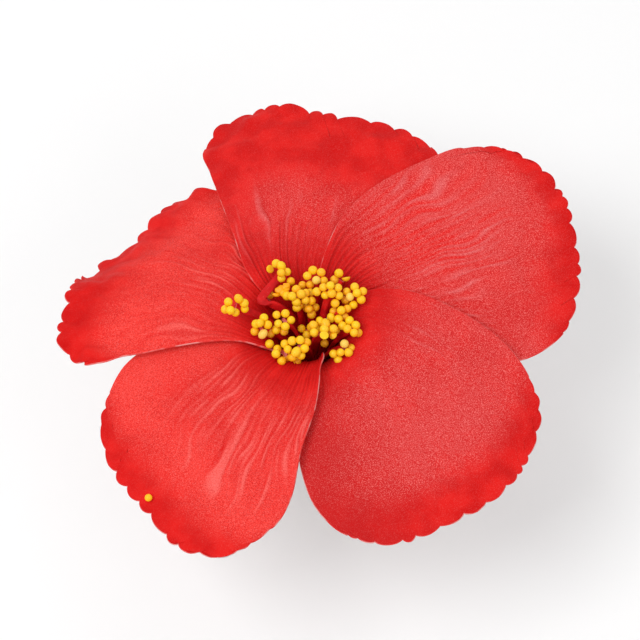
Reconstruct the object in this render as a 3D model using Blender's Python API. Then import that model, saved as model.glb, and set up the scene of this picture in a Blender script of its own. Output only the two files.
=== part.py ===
"""Flower hair clip: a pressed-foam hibiscus glued to a felt backing and a sprung steel clip.

Metres, +Z up. The origin is on the gripping face of the clip's top plate, on the flower's axis.
+Z points out of the flower's mouth, and +X runs along the clip towards its thumb tab.
Lengths below are in millimetres until a mesh is made.
"""

import math

import bmesh
import bpy
import numpy as np
from mathutils import Matrix, Vector

MM = 0.001
GAP = 0.3  # left between pieces that touch

# Flower: the petals lie on one trumpet, a turned surface about Z.
MOUTH_Z = 27.8  # height of the trumpet's crest above the gripping face
THROAT_R = 6.0  # radius at the petals' lower ends
THROAT_DEPTH = 22.0
FLARE_LENGTH = 3.2  # radius over which the throat opens by a factor e
CREST_R = 28.0  # the petals droop beyond this radius
DROOP = 0.0035  # drop per square millimetre beyond the crest
FOAM_THICKNESS = 1.0
THROAT_LEFT_DEG = 66.0  # how far a petal wraps round the throat on its upper side
THROAT_RIGHT_DEG = 42.0  # and on its tucked side
LAYER_STEP = 1.5  # rise of a petal's surface for each LAYER_TURN_DEG of turn
LAYER_TURN_DEG = 60.0
LAYER_GROWTH = 0.02  # extra step for each millimetre beyond LAYER_START_R
LAYER_START_R = 10.0

# Slow rises and dips of the whole flower: (direction in degrees, half-width in degrees, height)
SWELLS = ((135.0, 26.0, -14.0), (38.0, 30.0, 6.0), (-50.0, 30.0, 3.0), (-125.0, 26.0, 1.0))
SWELL_START_R = 18.0
SWELL_LENGTH = 40.0
SWELL_POWER = 1.6
SWELL_LIMIT = 1.4  # a swell grows no further beyond this many lengths

# One entry for each petal. Outline points are (along, across) from the flower's axis, with the
# upper side at positive across. They run up the upper side, round the rim and down the tucked side.
PETALS = {
    "petal_1": {
        "axis_deg": 88.0,
        "scallops": 12,
        "upper": ((10, 14.5), (24, 19.5), (43, 25.5)),
        "rim": ((53.5, 28), (62, 21.5), (63.5, 8.5), (59, -5), (56.5, -17), (49.5, -27)),
        "tucked": ((40, -29), (26, -22), (10, -11)),
    },
    "petal_2": {
        "axis_deg": 27.0,
        "scallops": 15,
        "upper": ((12, 15.5), (20, 21.5), (31, 25), (44, 25.5)),
        "rim": ((52, 24.5), (60, 20), (66, 12), (67.5, 2), (65.5, -8), (60.5, -19), (51, -28)),
        "tucked": ((38, -30), (24, -23), (9, -11)),
    },
    "petal_3": {
        "axis_deg": -48.0,
        "scallops": 15,
        "upper": ((3, 14), (10, 21), (22, 26), (34, 28)),
        "rim": ((44, 26.5), (53, 21.5), (59.5, 10), (61, -1), (58.5, -13), (53.5, -24), (45, -30)),
        "tucked": ((34.5, -30.5), (22, -24), (9, -11)),
    },
    "petal_4": {
        "axis_deg": -132.0,
        "scallops": 14,
        "upper": ((8, 10.5), (17.5, 16.5), (27, 21), (37, 27)),
        "rim": ((45, 28.5), (56, 25), (61.5, 16), (60.5, 5.5), (58, -8), (52, -17.5), (44, -22.5)),
        "tucked": ((34, -24.5), (22, -20), (9, -10.5)),
    },
    "petal_5": {
        "axis_deg": 155.0,
        "scallops": 14,
        "upper": ((4.5, 10.5), (12.5, 12.5), (20, 16.5), (33, 26)),
        "rim": ((42, 32), (51, 28.5), (55, 16.5), (57, 4.5), (51, -7), (50, -17), (45.5, -26)),
        "tucked": ((34, -27), (22, -20), (9, -10.5)),
    },
}
PETAL_ROWS = 13
ROW_CROWDING = 1.7  # above 1 the rows crowd towards the throat, where the surface bends most
PETAL_COLUMNS = 41
SCALLOP_DEPTH = 1.2
SCALLOP_FADE = 0.35  # the smaller, the nearer to the corners the scallops keep their depth
OUTLINE_SAMPLES = 400
CURL_PETAL = "petal_5"  # its rim curls down between its middle and its tucked side
CURL_DEPTH = 7.0
CURL_START = 42.0
CURL_LENGTH = 14.0
CURL_ACROSS = 1.0
CURL_HALF_WIDTH = 8.0

# Stamens: (tip x, tip y, tip height above MOUTH_Z, root ring from the middle out, root turn)
STAMENS = (
    (-17.7, 0.9, 4.7, 2, 169.0),
    (-7.1, 10.9, 2.4, 2, 126.0),
    (-3.6, 4.9, 2.2, 1, 150.0),
    (0.9, 9.2, 3.0, 2, 90.0),
    (4.1, 5.6, 4.5, 1, 30.0),
    (6.6, 9.8, 1.8, 2, 54.0),
    (6.4, 1.4, 2.0, 1, -30.0),
    (10.3, 4.8, 2.5, 2, 18.0),
    (9.4, -2.9, 1.0, 2, -18.0),
    (7.1, -7.4, -0.6, 2, -54.0),
    (2.1, -4.6, 1.6, 1, -90.0),
    (-2.5, -8.5, 2.6, 2, -90.0),
    (-6.6, -8.65, -0.2, 2, -126.0),
    (-6.4, -1.4, 2.2, 1, -150.0),
    (-11.9, -3.0, 2.0, 2, -162.0),
    (-0.1, 4.0, -2.3, 1, 90.0),
    (-0.8, -0.9, -3.4, 0, 90.0),
)
BENT_STAMEN = 1  # this one leans out of the mouth and folds back to its tip
BENT_ELBOW = (-12.3, 4.1, 1.6)
BENT_ELBOW_SHARE = 0.7  # the share of the strip's curve at which it passes its elbow
BENT_START_RISE = 0.7
STAMEN_WIDTH = 1.8
STAMEN_ROOT_WIDTH = 1.4
STAMEN_THICKNESS = 0.8
STAMEN_ROOT_R = (0.0, 1.9, 3.5)
STAMEN_LEAN = (0.0, 0.04, 0.2)  # how early the strips of each ring spread
STAMEN_ROOT_Z = 11.5
STAMEN_STATIONS = 8
STAMEN_START_RISE = 0.55  # how long a strip runs straight up from its root, as a share of its height
STAMEN_TIP_SPREAD = 0.36  # how far a strip's top end leans out, as a share of its spread
STAMEN_TIP_RISE = 0.16
STAMEN_SAMPLES = 60
TANGENT_STEP = 0.01
BEAD_R = 1.0
BEAD_RING_R = 1.45
SMALL_CLUMPS = (15, 16)  # low in the middle of the bundle
SMALL_RING_R = 0.8
SMALL_CROWN = 4
SMALLEST_CROWN = 5  # every other clump has one bead more
LOWER_BEADS = 4
CLUMP_CORE = 0.9  # least reach of a clump from its middle, in bead radii
BEAD_CLUMP_TURN = 0.9  # each clump is turned this much (radians) from the one before
CROWN_RISE = 0.3
LOWER_DROP = 1.2
BEAD_CLUMP_STEPS = 3  # icosphere subdivisions of a clump
STRAY_BEAD_AT = (-36.2, -45.2)
STRAY_BEAD_R = 0.85

# Clip: a flat top plate with two ears, a toothed jaw turning on a pin, and a leaf spring.
PLATE_FRONT_X = -24.0
PLATE_REAR_X = 22.0
PLATE_WIDTH = 9.0
PLATE_THICKNESS = 0.8
PLATE_CORNER_R = 1.6
PIN_X = 7.0
PIN_Z = -2.5
PIN_R = 0.75
PIN_HEAD_R = 1.35
PIN_HEAD_LENGTH = 0.5
PIN_HEAD_CHAMFER = 0.2
EAR_HALF_LENGTH = 3.2
EAR_END_R = 1.9
EAR_SHOULDER_Z = -0.6
EAR_INSET = 0.05  # from the plate's side edge to the ear's outer face
JAW_EAR_R = 1.7
JAW_WIDTH = 6.6
JAW_THICKNESS = 0.6
JAW_FRONT_X = -23.0
JAW_UNDER_Z = -2.4
JAW_REAR_X = 22.0
JAW_REAR_Z = -10.2
JAW_LIP = 2.0  # length of the turned end of the thumb tab
JAW_LIP_DROP = 0.1
JAW_BEND_X = PIN_X - 9.0  # the jaw's flat underside ends here
WEB_FRONT_X = PIN_X - 2.0  # the web is lowest between these two, under the pin
WEB_REAR_X = PIN_X + 2.5
WEB_Z = PIN_Z - 2.6
WEB_INSET = 0.1
FLANGE_END_X = JAW_REAR_X - 6.0
FLANGE_END_Z = JAW_REAR_Z + 2.4
FLANGE_RIM = (0.2, 0.8)  # the flange's rear end: set back and height
JAW_EAR_REAR = (3.0, -0.8)  # from the pin to where the ear meets the rear and front rims
JAW_EAR_FRONT = (-4.0, 0.6)
TOOTH_PITCH = 2.2
TOOTH_COUNT = 8
TOOTH_DEPTH = 1.0
SPRING_WIDTH = 4.4
SPRING_THICKNESS = 0.35
SPRING_WRAP_R = 1.45
SPRING_TOP_END_X = JAW_REAR_X - 3.5
SPRING_TOP_BEND_X = PIN_X + 4.0
SPRING_TOP_SAG = 0.05
SPRING_LEG_START_X = PIN_X + 3.0
SPRING_LEG_END_X = JAW_REAR_X - 4.5
SPRING_LEG_LIFT = 0.1

# Backing
CLIP_GLUE_LENGTH = 30.0
CLIP_GLUE_WIDTH = 7.6
CLIP_GLUE_THICKNESS = 0.5
FELT_R = 18.0
FELT_THICKNESS = 1.5
FELT_CHAMFER = 0.2
GLUE_FLANGE_R = 12.0
GLUE_FLANGE_THICKNESS = 1.0
GLUE_NECK_R = 3.3
GLUE_TOP_R = 4.2
GLUE_NECK_LENGTH = 3.0
GLUE_TOP_LENGTH = 0.6
GLUE_CHAMFER = 0.3
GLUE_EDGE_SLOPE = 0.5

CLIP_GLUE_Z = PLATE_THICKNESS + GAP
FELT_Z = CLIP_GLUE_Z + CLIP_GLUE_THICKNESS + GAP
GLUE_CORE_Z = FELT_Z + FELT_THICKNESS + GAP

ROUND_STEPS = 48
GLUE_ROUND_STEPS = 32
SMALL_ROUND_STEPS = 20
END_STEPS = 14
ARC_STEPS = 10
CORNER_STEPS = 5
SMOOTH_ANGLE = math.radians(40)


# ---------------------------------------------------------------- materials


def principled(name, color, roughness, metallic=0.0):
    """A Principled material with one colour, roughness and metallic value."""
    material = bpy.data.materials.new(name)
    material.use_nodes = True
    shader = material.node_tree.nodes["Principled BSDF"]
    shader.inputs["Base Color"].default_value = (*color, 1.0)
    shader.inputs["Roughness"].default_value = roughness
    shader.inputs["Metallic"].default_value = metallic
    material.diffuse_color = (*color, 1.0)
    return material


def petal_material():
    return principled("red_foam", (0.72, 0.02, 0.015), 0.75)


def stamen_material():
    return principled("dark_red_foam", (0.45, 0.01, 0.012), 0.8)


def bead_material():
    return principled("yellow_bead", (0.90, 0.50, 0.02), 0.45)


def felt_material():
    return principled("white_felt", (0.80, 0.79, 0.76), 0.95)


def glue_material():
    return principled("clear_glue", (0.85, 0.83, 0.76), 0.25)


def steel_material():
    return principled("nickel_steel", (0.78, 0.78, 0.77), 0.22, 1.0)


def spring_material():
    return principled("spring_steel", (0.55, 0.55, 0.56), 0.3, 1.0)


# ---------------------------------------------------------------- mesh helpers


def clear_objects():
    for item in list(bpy.data.objects):
        bpy.data.objects.remove(item, do_unlink=True)


def add_object(name, mesh, material, smooth=True):
    """Links a mesh as a named object with its material."""
    if smooth:
        mesh.shade_smooth()
        mesh.set_sharp_from_angle(angle=SMOOTH_ANGLE)
    mesh.materials.append(material)
    item = bpy.data.objects.new(name, mesh)
    bpy.context.scene.collection.objects.link(item)
    return item


def to_mesh(name, form):
    """Turns a bmesh in millimetres into a mesh in metres with outward normals."""
    bmesh.ops.recalc_face_normals(form, faces=form.faces)
    bmesh.ops.scale(form, vec=(MM, MM, MM), verts=form.verts)
    mesh = bpy.data.meshes.new(name)
    form.to_mesh(mesh)
    form.free()
    return mesh


def prism(points, y_low, y_high):
    """A bmesh prism: an (x, z) outline extruded from y_low to y_high."""
    form = bmesh.new()
    face = form.faces.new([form.verts.new((x, y_low, z)) for x, z in points])
    extruded = bmesh.ops.extrude_face_region(form, geom=[face])
    moved = [v for v in extruded["geom"] if isinstance(v, bmesh.types.BMVert)]
    bmesh.ops.translate(form, vec=(0, y_high - y_low, 0), verts=moved)
    return form


def slab(points, z_low, z_high):
    """A bmesh slab: an (x, y) outline extruded from z_low to z_high."""
    form = bmesh.new()
    face = form.faces.new([form.verts.new((x, y, z_low)) for x, y in points])
    extruded = bmesh.ops.extrude_face_region(form, geom=[face])
    moved = [v for v in extruded["geom"] if isinstance(v, bmesh.types.BMVert)]
    bmesh.ops.translate(form, vec=(0, 0, z_high - z_low), verts=moved)
    return form


def arc(cx, cz, radius, start_deg, end_deg, steps):
    """Points of an arc, both ends included."""
    turns = [math.radians(start_deg + (end_deg - start_deg) * k / steps) for k in range(steps + 1)]
    return [(cx + radius * math.cos(t), cz + radius * math.sin(t)) for t in turns]


def turned(profile, steps):
    """A closed bmesh turned about Z from (radius, z) points that start and end on the axis."""
    form = bmesh.new()
    verts = [form.verts.new((r, 0, z)) for r, z in profile]
    edges = [form.edges.new(pair) for pair in zip(verts, verts[1:])]
    bmesh.ops.spin(
        form, geom=verts + edges, cent=(0, 0, 0), axis=(0, 0, 1), angle=2 * math.pi, steps=steps
    )
    bmesh.ops.remove_doubles(form, verts=form.verts, dist=1e-4)
    return form


def cutter(name, mesh):
    """A hidden body that a Boolean joins or cuts away."""
    item = bpy.data.objects.new(name, mesh)
    bpy.context.scene.collection.objects.link(item)
    item.hide_render = True
    item.display_type = "WIRE"
    return item


def add_boolean(item, body, operation):
    modifier = item.modifiers.new(body.name, "BOOLEAN")
    modifier.operation = operation
    modifier.solver = "EXACT"
    modifier.object = body


# ---------------------------------------------------------------- petals


def smooth_curve(points, first, last, shares):
    """Points at shares of the length from points[first] to points[last] of a smooth curve through
    all the given (along, across) points."""
    p = np.array(points, float)
    knots = np.concatenate([[0], np.cumsum(np.sqrt(np.linalg.norm(np.diff(p, axis=0), axis=1)))])
    slopes = np.empty_like(p)
    slopes[1:-1] = (p[2:] - p[:-2]) / (knots[2:] - knots[:-2])[:, None]
    slopes[0] = (p[1] - p[0]) / (knots[1] - knots[0])
    slopes[-1] = (p[-1] - p[-2]) / (knots[-1] - knots[-2])
    fine = np.linspace(knots[first], knots[last], OUTLINE_SAMPLES)
    k = np.clip(np.searchsorted(knots, fine, side="right") - 1, 0, len(p) - 2)
    span = knots[k + 1] - knots[k]
    t = (fine - knots[k]) / span
    curve = (
        (2 * t**3 - 3 * t**2 + 1)[:, None] * p[k]
        + ((t**3 - 2 * t**2 + t) * span)[:, None] * slopes[k]
        + (3 * t**2 - 2 * t**3)[:, None] * p[k + 1]
        + ((t**3 - t**2) * span)[:, None] * slopes[k + 1]
    )
    length = np.concatenate([[0], np.cumsum(np.linalg.norm(np.diff(curve, axis=0), axis=1))])
    at = np.asarray(shares) * length[-1]
    return np.stack([np.interp(at, length, curve[:, axis]) for axis in (0, 1)], 1)


def scalloped(rim, count):
    """Pushes the rim's points in between its lobes, which fade out towards both corners."""
    share = np.linspace(0, 1, len(rim))
    tangent = np.gradient(rim, axis=0)
    tangent /= np.linalg.norm(tangent, axis=1)[:, None]
    outward = np.stack([-tangent[:, 1], tangent[:, 0]], 1)
    valley = 1 - np.abs(np.sin(math.pi * count * share))
    fade = np.sin(math.pi * share) ** SCALLOP_FADE
    return rim - outward * (SCALLOP_DEPTH * valley * fade)[:, None]


def petal_plan(spec, rows, columns):
    """A petal's flat grid: a blend of its throat arc, its two side edges and its scalloped rim."""
    upper_turn = math.radians(THROAT_LEFT_DEG)
    tucked_turn = -math.radians(THROAT_RIGHT_DEG)
    turns = np.linspace(upper_turn, tucked_turn, columns)
    throat = THROAT_R * np.stack([np.cos(turns), np.sin(turns)], 1)
    rise = np.linspace(0, 1, rows) ** ROW_CROWDING
    outline = [throat[0], *spec["upper"], *spec["rim"], *spec["tucked"], throat[-1]]
    corner = 1 + len(spec["upper"])
    far_corner = corner + len(spec["rim"]) - 1
    end = len(outline) - 1
    upper = smooth_curve(outline, 0, corner, rise)
    tucked = smooth_curve(outline, far_corner, end, 1 - rise)
    smooth_rim = smooth_curve(outline, corner, far_corner, np.linspace(0, 1, columns))
    rim = scalloped(smooth_rim, spec["scallops"])
    rim[0] = upper[-1]
    rim[-1] = tucked[-1]
    p = rise[:, None, None]
    q = np.linspace(0, 1, columns)[None, :, None]
    along_ends = (1 - p) * throat[None] + p * rim[None]
    along_sides = (1 - q) * upper[:, None] + q * tucked[:, None]
    lower_corners = (1 - p) * ((1 - q) * throat[0] + q * throat[-1])
    rim_corners = p * ((1 - q) * rim[0] + q * rim[-1])
    return along_ends + along_sides - lower_corners - rim_corners


def trumpet(radius):
    """Height of the trumpet below its crest at a radius."""
    throat = THROAT_DEPTH * np.exp(-(radius - THROAT_R) / FLARE_LENGTH)
    return -throat - DROOP * np.maximum(radius - CREST_R, 0) ** 2


def trumpet_slope(radius):
    throat = THROAT_DEPTH / FLARE_LENGTH * np.exp(-(radius - THROAT_R) / FLARE_LENGTH)
    return throat - 2 * DROOP * np.maximum(radius - CREST_R, 0)


def swell(x, y):
    """The slow rises and dips of the whole flower."""
    radius = np.hypot(x, y)
    turn = np.degrees(np.arctan2(y, x))
    reach = np.clip((radius - SWELL_START_R) / SWELL_LENGTH, 0, SWELL_LIMIT) ** SWELL_POWER
    total = np.zeros_like(x)
    for direction, half_width, height in SWELLS:
        away = (turn - direction + 180) % 360 - 180
        total += height * np.exp(-((away / half_width) ** 2)) * reach
    return total


def layer_offset(radius, turn_deg):
    """How far a petal stands off the trumpet: its upper side lies over the next petal."""
    growth = LAYER_GROWTH * np.maximum(radius - LAYER_START_R, 0)
    return (LAYER_STEP + growth) * turn_deg / LAYER_TURN_DEG


def petal_points(name, spec, plan):
    """Points in space of a petal's middle surface, in millimetres."""
    along, across = plan[..., 0], plan[..., 1]
    axis = math.radians(spec["axis_deg"])
    x = along * math.cos(axis) - across * math.sin(axis)
    y = along * math.sin(axis) + across * math.cos(axis)
    radius = np.hypot(along, across)
    turn_deg = np.degrees(np.arctan2(across, along))
    z = MOUTH_Z + trumpet(radius) + swell(x, y)
    if name == CURL_PETAL:
        reach = np.clip((along - CURL_START) / CURL_LENGTH, 0, 1) ** 2
        z = z - CURL_DEPTH * reach * np.exp(-(((across - CURL_ACROSS) / CURL_HALF_WIDTH) ** 2))
    slope = trumpet_slope(radius)
    upright = 1 / np.sqrt(1 + slope * slope)
    offset = layer_offset(radius, turn_deg)
    inward = offset * slope * upright / radius
    return np.stack([x * (1 - inward), y * (1 - inward), z + offset * upright], -1)


def make_petal(name, spec, material):
    """A petal: its middle surface, thickened to the foam's thickness."""
    grid = petal_points(name, spec, petal_plan(spec, PETAL_ROWS, PETAL_COLUMNS)) * MM
    rows, columns = grid.shape[:2]
    faces = []
    for r in range(rows - 1):
        for c in range(columns - 1):
            corner = r * columns + c
            faces.append((corner, corner + columns, corner + columns + 1, corner + 1))
    mesh = bpy.data.meshes.new(name)
    mesh.from_pydata(grid.reshape(-1, 3).tolist(), [], faces)
    petal = add_object(name, mesh, material, smooth=False)
    mesh.shade_smooth()
    shell = petal.modifiers.new("foam", "SOLIDIFY")
    shell.thickness = FOAM_THICKNESS * MM
    shell.offset = 0.0
    return petal


# ---------------------------------------------------------------- stamens and beads


def stamen_path(index):
    """Centre line of a stamen from its root to its tip, as a cubic curve."""
    tip_x, tip_y, tip_rise, ring, root_turn = STAMENS[index]
    turn = math.radians(root_turn)
    root_r = STAMEN_ROOT_R[ring]
    root = Vector((root_r * math.cos(turn), root_r * math.sin(turn), STAMEN_ROOT_Z))
    tip = Vector((tip_x, tip_y, MOUTH_Z + tip_rise))
    height = tip.z - root.z
    flat = Vector((tip.x - root.x, tip.y - root.y, 0))
    lean = STAMEN_LEAN[ring]
    first = root + flat * lean + Vector((0, 0, height * STAMEN_START_RISE))
    second = tip - flat * STAMEN_TIP_SPREAD - Vector((0, 0, height * STAMEN_TIP_RISE))
    if index == BENT_STAMEN:
        first = root + Vector((0, 0, height * BENT_START_RISE))
        second = control_through_elbow(root, first, tip)
    return root, first, second, tip


def control_through_elbow(root, first, tip):
    """The third control point that takes the bent strip's curve through its elbow."""
    elbow = Vector((BENT_ELBOW[0], BENT_ELBOW[1], MOUTH_Z + BENT_ELBOW[2]))
    t = BENT_ELBOW_SHARE
    s = 1 - t
    rest = elbow - root * s**3 - first * (3 * s * s * t) - tip * t**3
    return rest / (3 * s * t * t)


def bezier(root, first, second, tip, t):
    s = 1 - t
    return root * s**3 + first * (3 * s * s * t) + second * (3 * s * t * t) + tip * t**3


def tip_direction(index):
    root, first, second, tip = stamen_path(index)
    return (tip - second).normalized()


def bead_centres(index):
    """Bead centres of one clump, about the stamen's tip: a crown and a staggered lower ring."""
    out = tip_direction(index)
    side = out.orthogonal().normalized()
    other = out.cross(side)
    tip = stamen_path(index)[3]
    ring_r = BEAD_RING_R
    crown = SMALLEST_CROWN + index % 2
    if index in SMALL_CLUMPS:
        ring_r = SMALL_RING_R
        crown = SMALL_CROWN
    start = index * BEAD_CLUMP_TURN
    centres = []
    for count, rise, shift in ((crown, CROWN_RISE, 0), (LOWER_BEADS, -LOWER_DROP, 0.5)):
        for k in range(count):
            turn = 2 * math.pi * (k + shift) / count + start
            centres.append(tip + (side * math.cos(turn) + other * math.sin(turn)) * ring_r + out * rise)
    return centres


def clump_reach(direction, offsets, bead_r):
    """Distance from a clump's middle to its surface of beads in one direction."""
    best = bead_r * CLUMP_CORE
    for offset in offsets:
        along = offset.dot(direction)
        inside = bead_r**2 - (offset.length_squared - along * along)
        if inside > 0:
            best = max(best, along + math.sqrt(inside))
    return best


def make_clump(index, material):
    """The beads on one stamen's tip, as one knobbly solid."""
    centres = bead_centres(index)
    middle = sum(centres, Vector()) / len(centres)
    offsets = [centre - middle for centre in centres]
    form = bmesh.new()
    bmesh.ops.create_icosphere(form, subdivisions=BEAD_CLUMP_STEPS, radius=1.0)
    for vert in form.verts:
        direction = vert.co.normalized()
        vert.co = middle + direction * clump_reach(direction, offsets, BEAD_R)
    name = f"beads_{index + 1:02d}"
    return add_object(name, to_mesh(name, form), material)


def strip_end(index, path):
    """The share of a stamen's path at which its strip stops, clear of its beads."""
    centres = bead_centres(index)
    middle = sum(centres, Vector()) / len(centres)
    back = -tip_direction(index)
    reach = max((centre - middle).dot(back) for centre in centres) + BEAD_R + 2 * GAP
    stop = middle + back * reach
    step = STAMEN_SAMPLES
    while (bezier(*path, step / STAMEN_SAMPLES) - stop).dot(back) <= 0:
        step -= 1
    return step / STAMEN_SAMPLES


def make_stamen(index, material):
    """A flat foam strip from the glue core up to the underside of its beads."""
    path = stamen_path(index)
    end = strip_end(index, path)
    root_turn = math.radians(STAMENS[index][4])
    outward = Vector((math.cos(root_turn), math.sin(root_turn), 0))
    form = bmesh.new()
    rings = []
    for k in range(STAMEN_STATIONS):
        t = end * k / (STAMEN_STATIONS - 1)
        point = bezier(*path, t)
        ahead = bezier(*path, t + TANGENT_STEP)
        along = (ahead - point).normalized() if k else Vector((0, 0, 1))
        across = along.cross(outward).normalized()
        normal = across.cross(along).normalized()
        width = STAMEN_ROOT_WIDTH + (STAMEN_WIDTH - STAMEN_ROOT_WIDTH) * min(1.0, 2 * t)
        half_across = across * (width / 2)
        half_thick = normal * (STAMEN_THICKNESS / 2)
        corners = ((-1, -1), (1, -1), (1, 1), (-1, 1))
        rings.append([form.verts.new(point + half_across * a + half_thick * b) for a, b in corners])
    for low, high in zip(rings, rings[1:]):
        for k in range(4):
            form.faces.new((low[k], low[(k + 1) % 4], high[(k + 1) % 4], high[k]))
    form.faces.new(rings[0][::-1])
    form.faces.new(rings[-1])
    name = f"stamen_{index + 1:02d}"
    return add_object(name, to_mesh(name, form), material)


def make_stray_bead(material):
    """A loose bead stuck to the face of the lower left petal."""
    x, y = STRAY_BEAD_AT
    radius = math.hypot(x, y)
    spec = PETALS["petal_4"]
    turn = (math.degrees(math.atan2(y, x)) - spec["axis_deg"] + 180) % 360 - 180
    across = radius * math.sin(math.radians(turn))
    along = radius * math.cos(math.radians(turn))
    surface = petal_points("petal_4", spec, np.array([[[along, across]]]))[0, 0]
    lift = FOAM_THICKNESS / 2 + GAP + STRAY_BEAD_R
    form = bmesh.new()
    bmesh.ops.create_icosphere(form, subdivisions=2, radius=STRAY_BEAD_R)
    bmesh.ops.translate(form, vec=(surface[0], surface[1], surface[2] + lift), verts=form.verts)
    return add_object("stray_bead", to_mesh("stray_bead", form), material)


# ---------------------------------------------------------------- backing


def stadium(half_length, half_width, end_steps):
    """An (x, y) outline with straight sides and round ends."""
    straight = half_length - half_width
    right = arc(straight, 0, half_width, -90, 90, end_steps)
    left = arc(-straight, 0, half_width, 90, 270, end_steps)
    return right + left


def make_felt(material):
    profile = [
        (0, FELT_Z),
        (FELT_R - FELT_CHAMFER, FELT_Z),
        (FELT_R, FELT_Z + FELT_CHAMFER),
        (FELT_R, FELT_Z + FELT_THICKNESS - FELT_CHAMFER),
        (FELT_R - FELT_CHAMFER, FELT_Z + FELT_THICKNESS),
        (0, FELT_Z + FELT_THICKNESS),
    ]
    return add_object("felt_backing", to_mesh("felt_backing", turned(profile, ROUND_STEPS)), material)


def make_clip_glue(material):
    outline = stadium(CLIP_GLUE_LENGTH / 2, CLIP_GLUE_WIDTH / 2, ARC_STEPS)
    form = slab(outline, CLIP_GLUE_Z, CLIP_GLUE_Z + CLIP_GLUE_THICKNESS)
    return add_object("clip_glue", to_mesh("clip_glue", form), material)


def make_glue_core(material):
    """The set glue that holds the petals' lower ends and the stamens' roots to the felt."""
    base = GLUE_CORE_Z
    flange_top = base + GLUE_FLANGE_THICKNESS
    top = STAMEN_ROOT_Z - GAP
    profile = [
        (0, base),
        (GLUE_FLANGE_R - GLUE_CHAMFER, base),
        (GLUE_FLANGE_R, base + GLUE_CHAMFER),
        (GLUE_FLANGE_R - GLUE_EDGE_SLOPE, flange_top),
        (GLUE_NECK_R, flange_top),
        (GLUE_NECK_R, flange_top + GLUE_NECK_LENGTH),
        (GLUE_TOP_R, top - GLUE_TOP_LENGTH),
        (GLUE_TOP_R - GLUE_CHAMFER, top),
        (0, top),
    ]
    return add_object("glue_core", to_mesh("glue_core", turned(profile, GLUE_ROUND_STEPS)), material)


# ---------------------------------------------------------------- clip


def make_pin_cutter():
    """The hole that the pin passes through."""
    form = bmesh.new()
    bmesh.ops.create_cone(
        form,
        cap_ends=True,
        segments=SMALL_ROUND_STEPS,
        radius1=PIN_R + GAP,
        radius2=PIN_R + GAP,
        depth=2 * PLATE_WIDTH,
        matrix=Matrix.Translation((PIN_X, 0, PIN_Z)) @ Matrix.Rotation(math.pi / 2, 4, "X"),
    )
    return cutter("pin_hole_cutter", to_mesh("pin_hole_cutter", form))


def plate_outline():
    """The top plate's (x, y) outline: a round front end and a rounded square rear end."""
    half = PLATE_WIDTH / 2
    corner_x = PLATE_REAR_X - PLATE_CORNER_R
    corner_y = half - PLATE_CORNER_R
    front = arc(PLATE_FRONT_X + half, 0, half, 90, 270, END_STEPS)
    rear_low = arc(corner_x, -corner_y, PLATE_CORNER_R, -90, 0, CORNER_STEPS)
    rear_high = arc(corner_x, corner_y, PLATE_CORNER_R, 0, 90, CORNER_STEPS)
    return front + rear_low + rear_high


def ear_outline():
    """The (x, z) outline of one ear: square at the plate, round about the pin."""
    top = PLATE_THICKNESS / 2
    front_x = PIN_X - EAR_HALF_LENGTH
    rear_x = PIN_X + EAR_HALF_LENGTH
    bottom = arc(PIN_X, PIN_Z, EAR_END_R, 0, -180, ARC_STEPS)
    return [(rear_x, top), (rear_x, EAR_SHOULDER_Z), *bottom, (front_x, EAR_SHOULDER_Z), (front_x, top)]


def add_side_walls(item, label, outline, half, thickness):
    """Joins a wall of one (x, z) outline to each side of a strip."""
    for side, y_low in (("left", half - thickness), ("right", -half)):
        name = f"{label}_{side}"
        wall = cutter(name, to_mesh(name, prism(outline, y_low, y_low + thickness)))
        add_boolean(item, wall, "UNION")


def make_plate(material, pin_hole):
    form = slab(plate_outline(), 0, PLATE_THICKNESS)
    plate = add_object("clip_top_plate", to_mesh("clip_top_plate", form), material)
    add_side_walls(plate, "plate_ear", ear_outline(), PLATE_WIDTH / 2 - EAR_INSET, PLATE_THICKNESS)
    add_boolean(plate, pin_hole, "DIFFERENCE")
    return plate


def jaw_front_underside():
    """The (x, z) underside that the jaw's web and flanges share, from the front lip to the pin."""
    return [
        (JAW_FRONT_X, JAW_UNDER_Z),
        (JAW_BEND_X, JAW_UNDER_Z),
        (WEB_FRONT_X, WEB_Z),
        (WEB_REAR_X, WEB_Z),
    ]


def jaw_web_outline():
    """The (x, z) outline of the jaw's folded strip, from its front lip to the end of the thumb tab."""
    under = [
        *jaw_front_underside(),
        (JAW_REAR_X - JAW_LIP, JAW_REAR_Z),
        (JAW_REAR_X, JAW_REAR_Z - JAW_LIP_DROP),
    ]
    upper = [(x, z + JAW_THICKNESS) for x, z in reversed(under)]
    return under + upper


def jaw_side_outline():
    """The (x, z) outline of a jaw flange: teeth in front, an ear about the pin, a low rim behind."""
    set_back, rim_height = FLANGE_RIM
    points = [
        *jaw_front_underside(),
        (FLANGE_END_X, FLANGE_END_Z),
        (FLANGE_END_X - set_back, FLANGE_END_Z + rim_height),
        (PIN_X + JAW_EAR_REAR[0], PIN_Z + JAW_EAR_REAR[1]),
        *arc(PIN_X, PIN_Z, JAW_EAR_R, 10, 170, ARC_STEPS),
        (PIN_X + JAW_EAR_FRONT[0], PIN_Z + JAW_EAR_FRONT[1]),
    ]
    crest_z = -GAP
    for tooth in range(TOOTH_COUNT, 0, -1):
        crest_x = JAW_FRONT_X + tooth * TOOTH_PITCH
        points.append((crest_x, crest_z))
        points.append((crest_x - TOOTH_PITCH / 2, crest_z - TOOTH_DEPTH))
    points.append((JAW_FRONT_X, crest_z))
    return points


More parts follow.
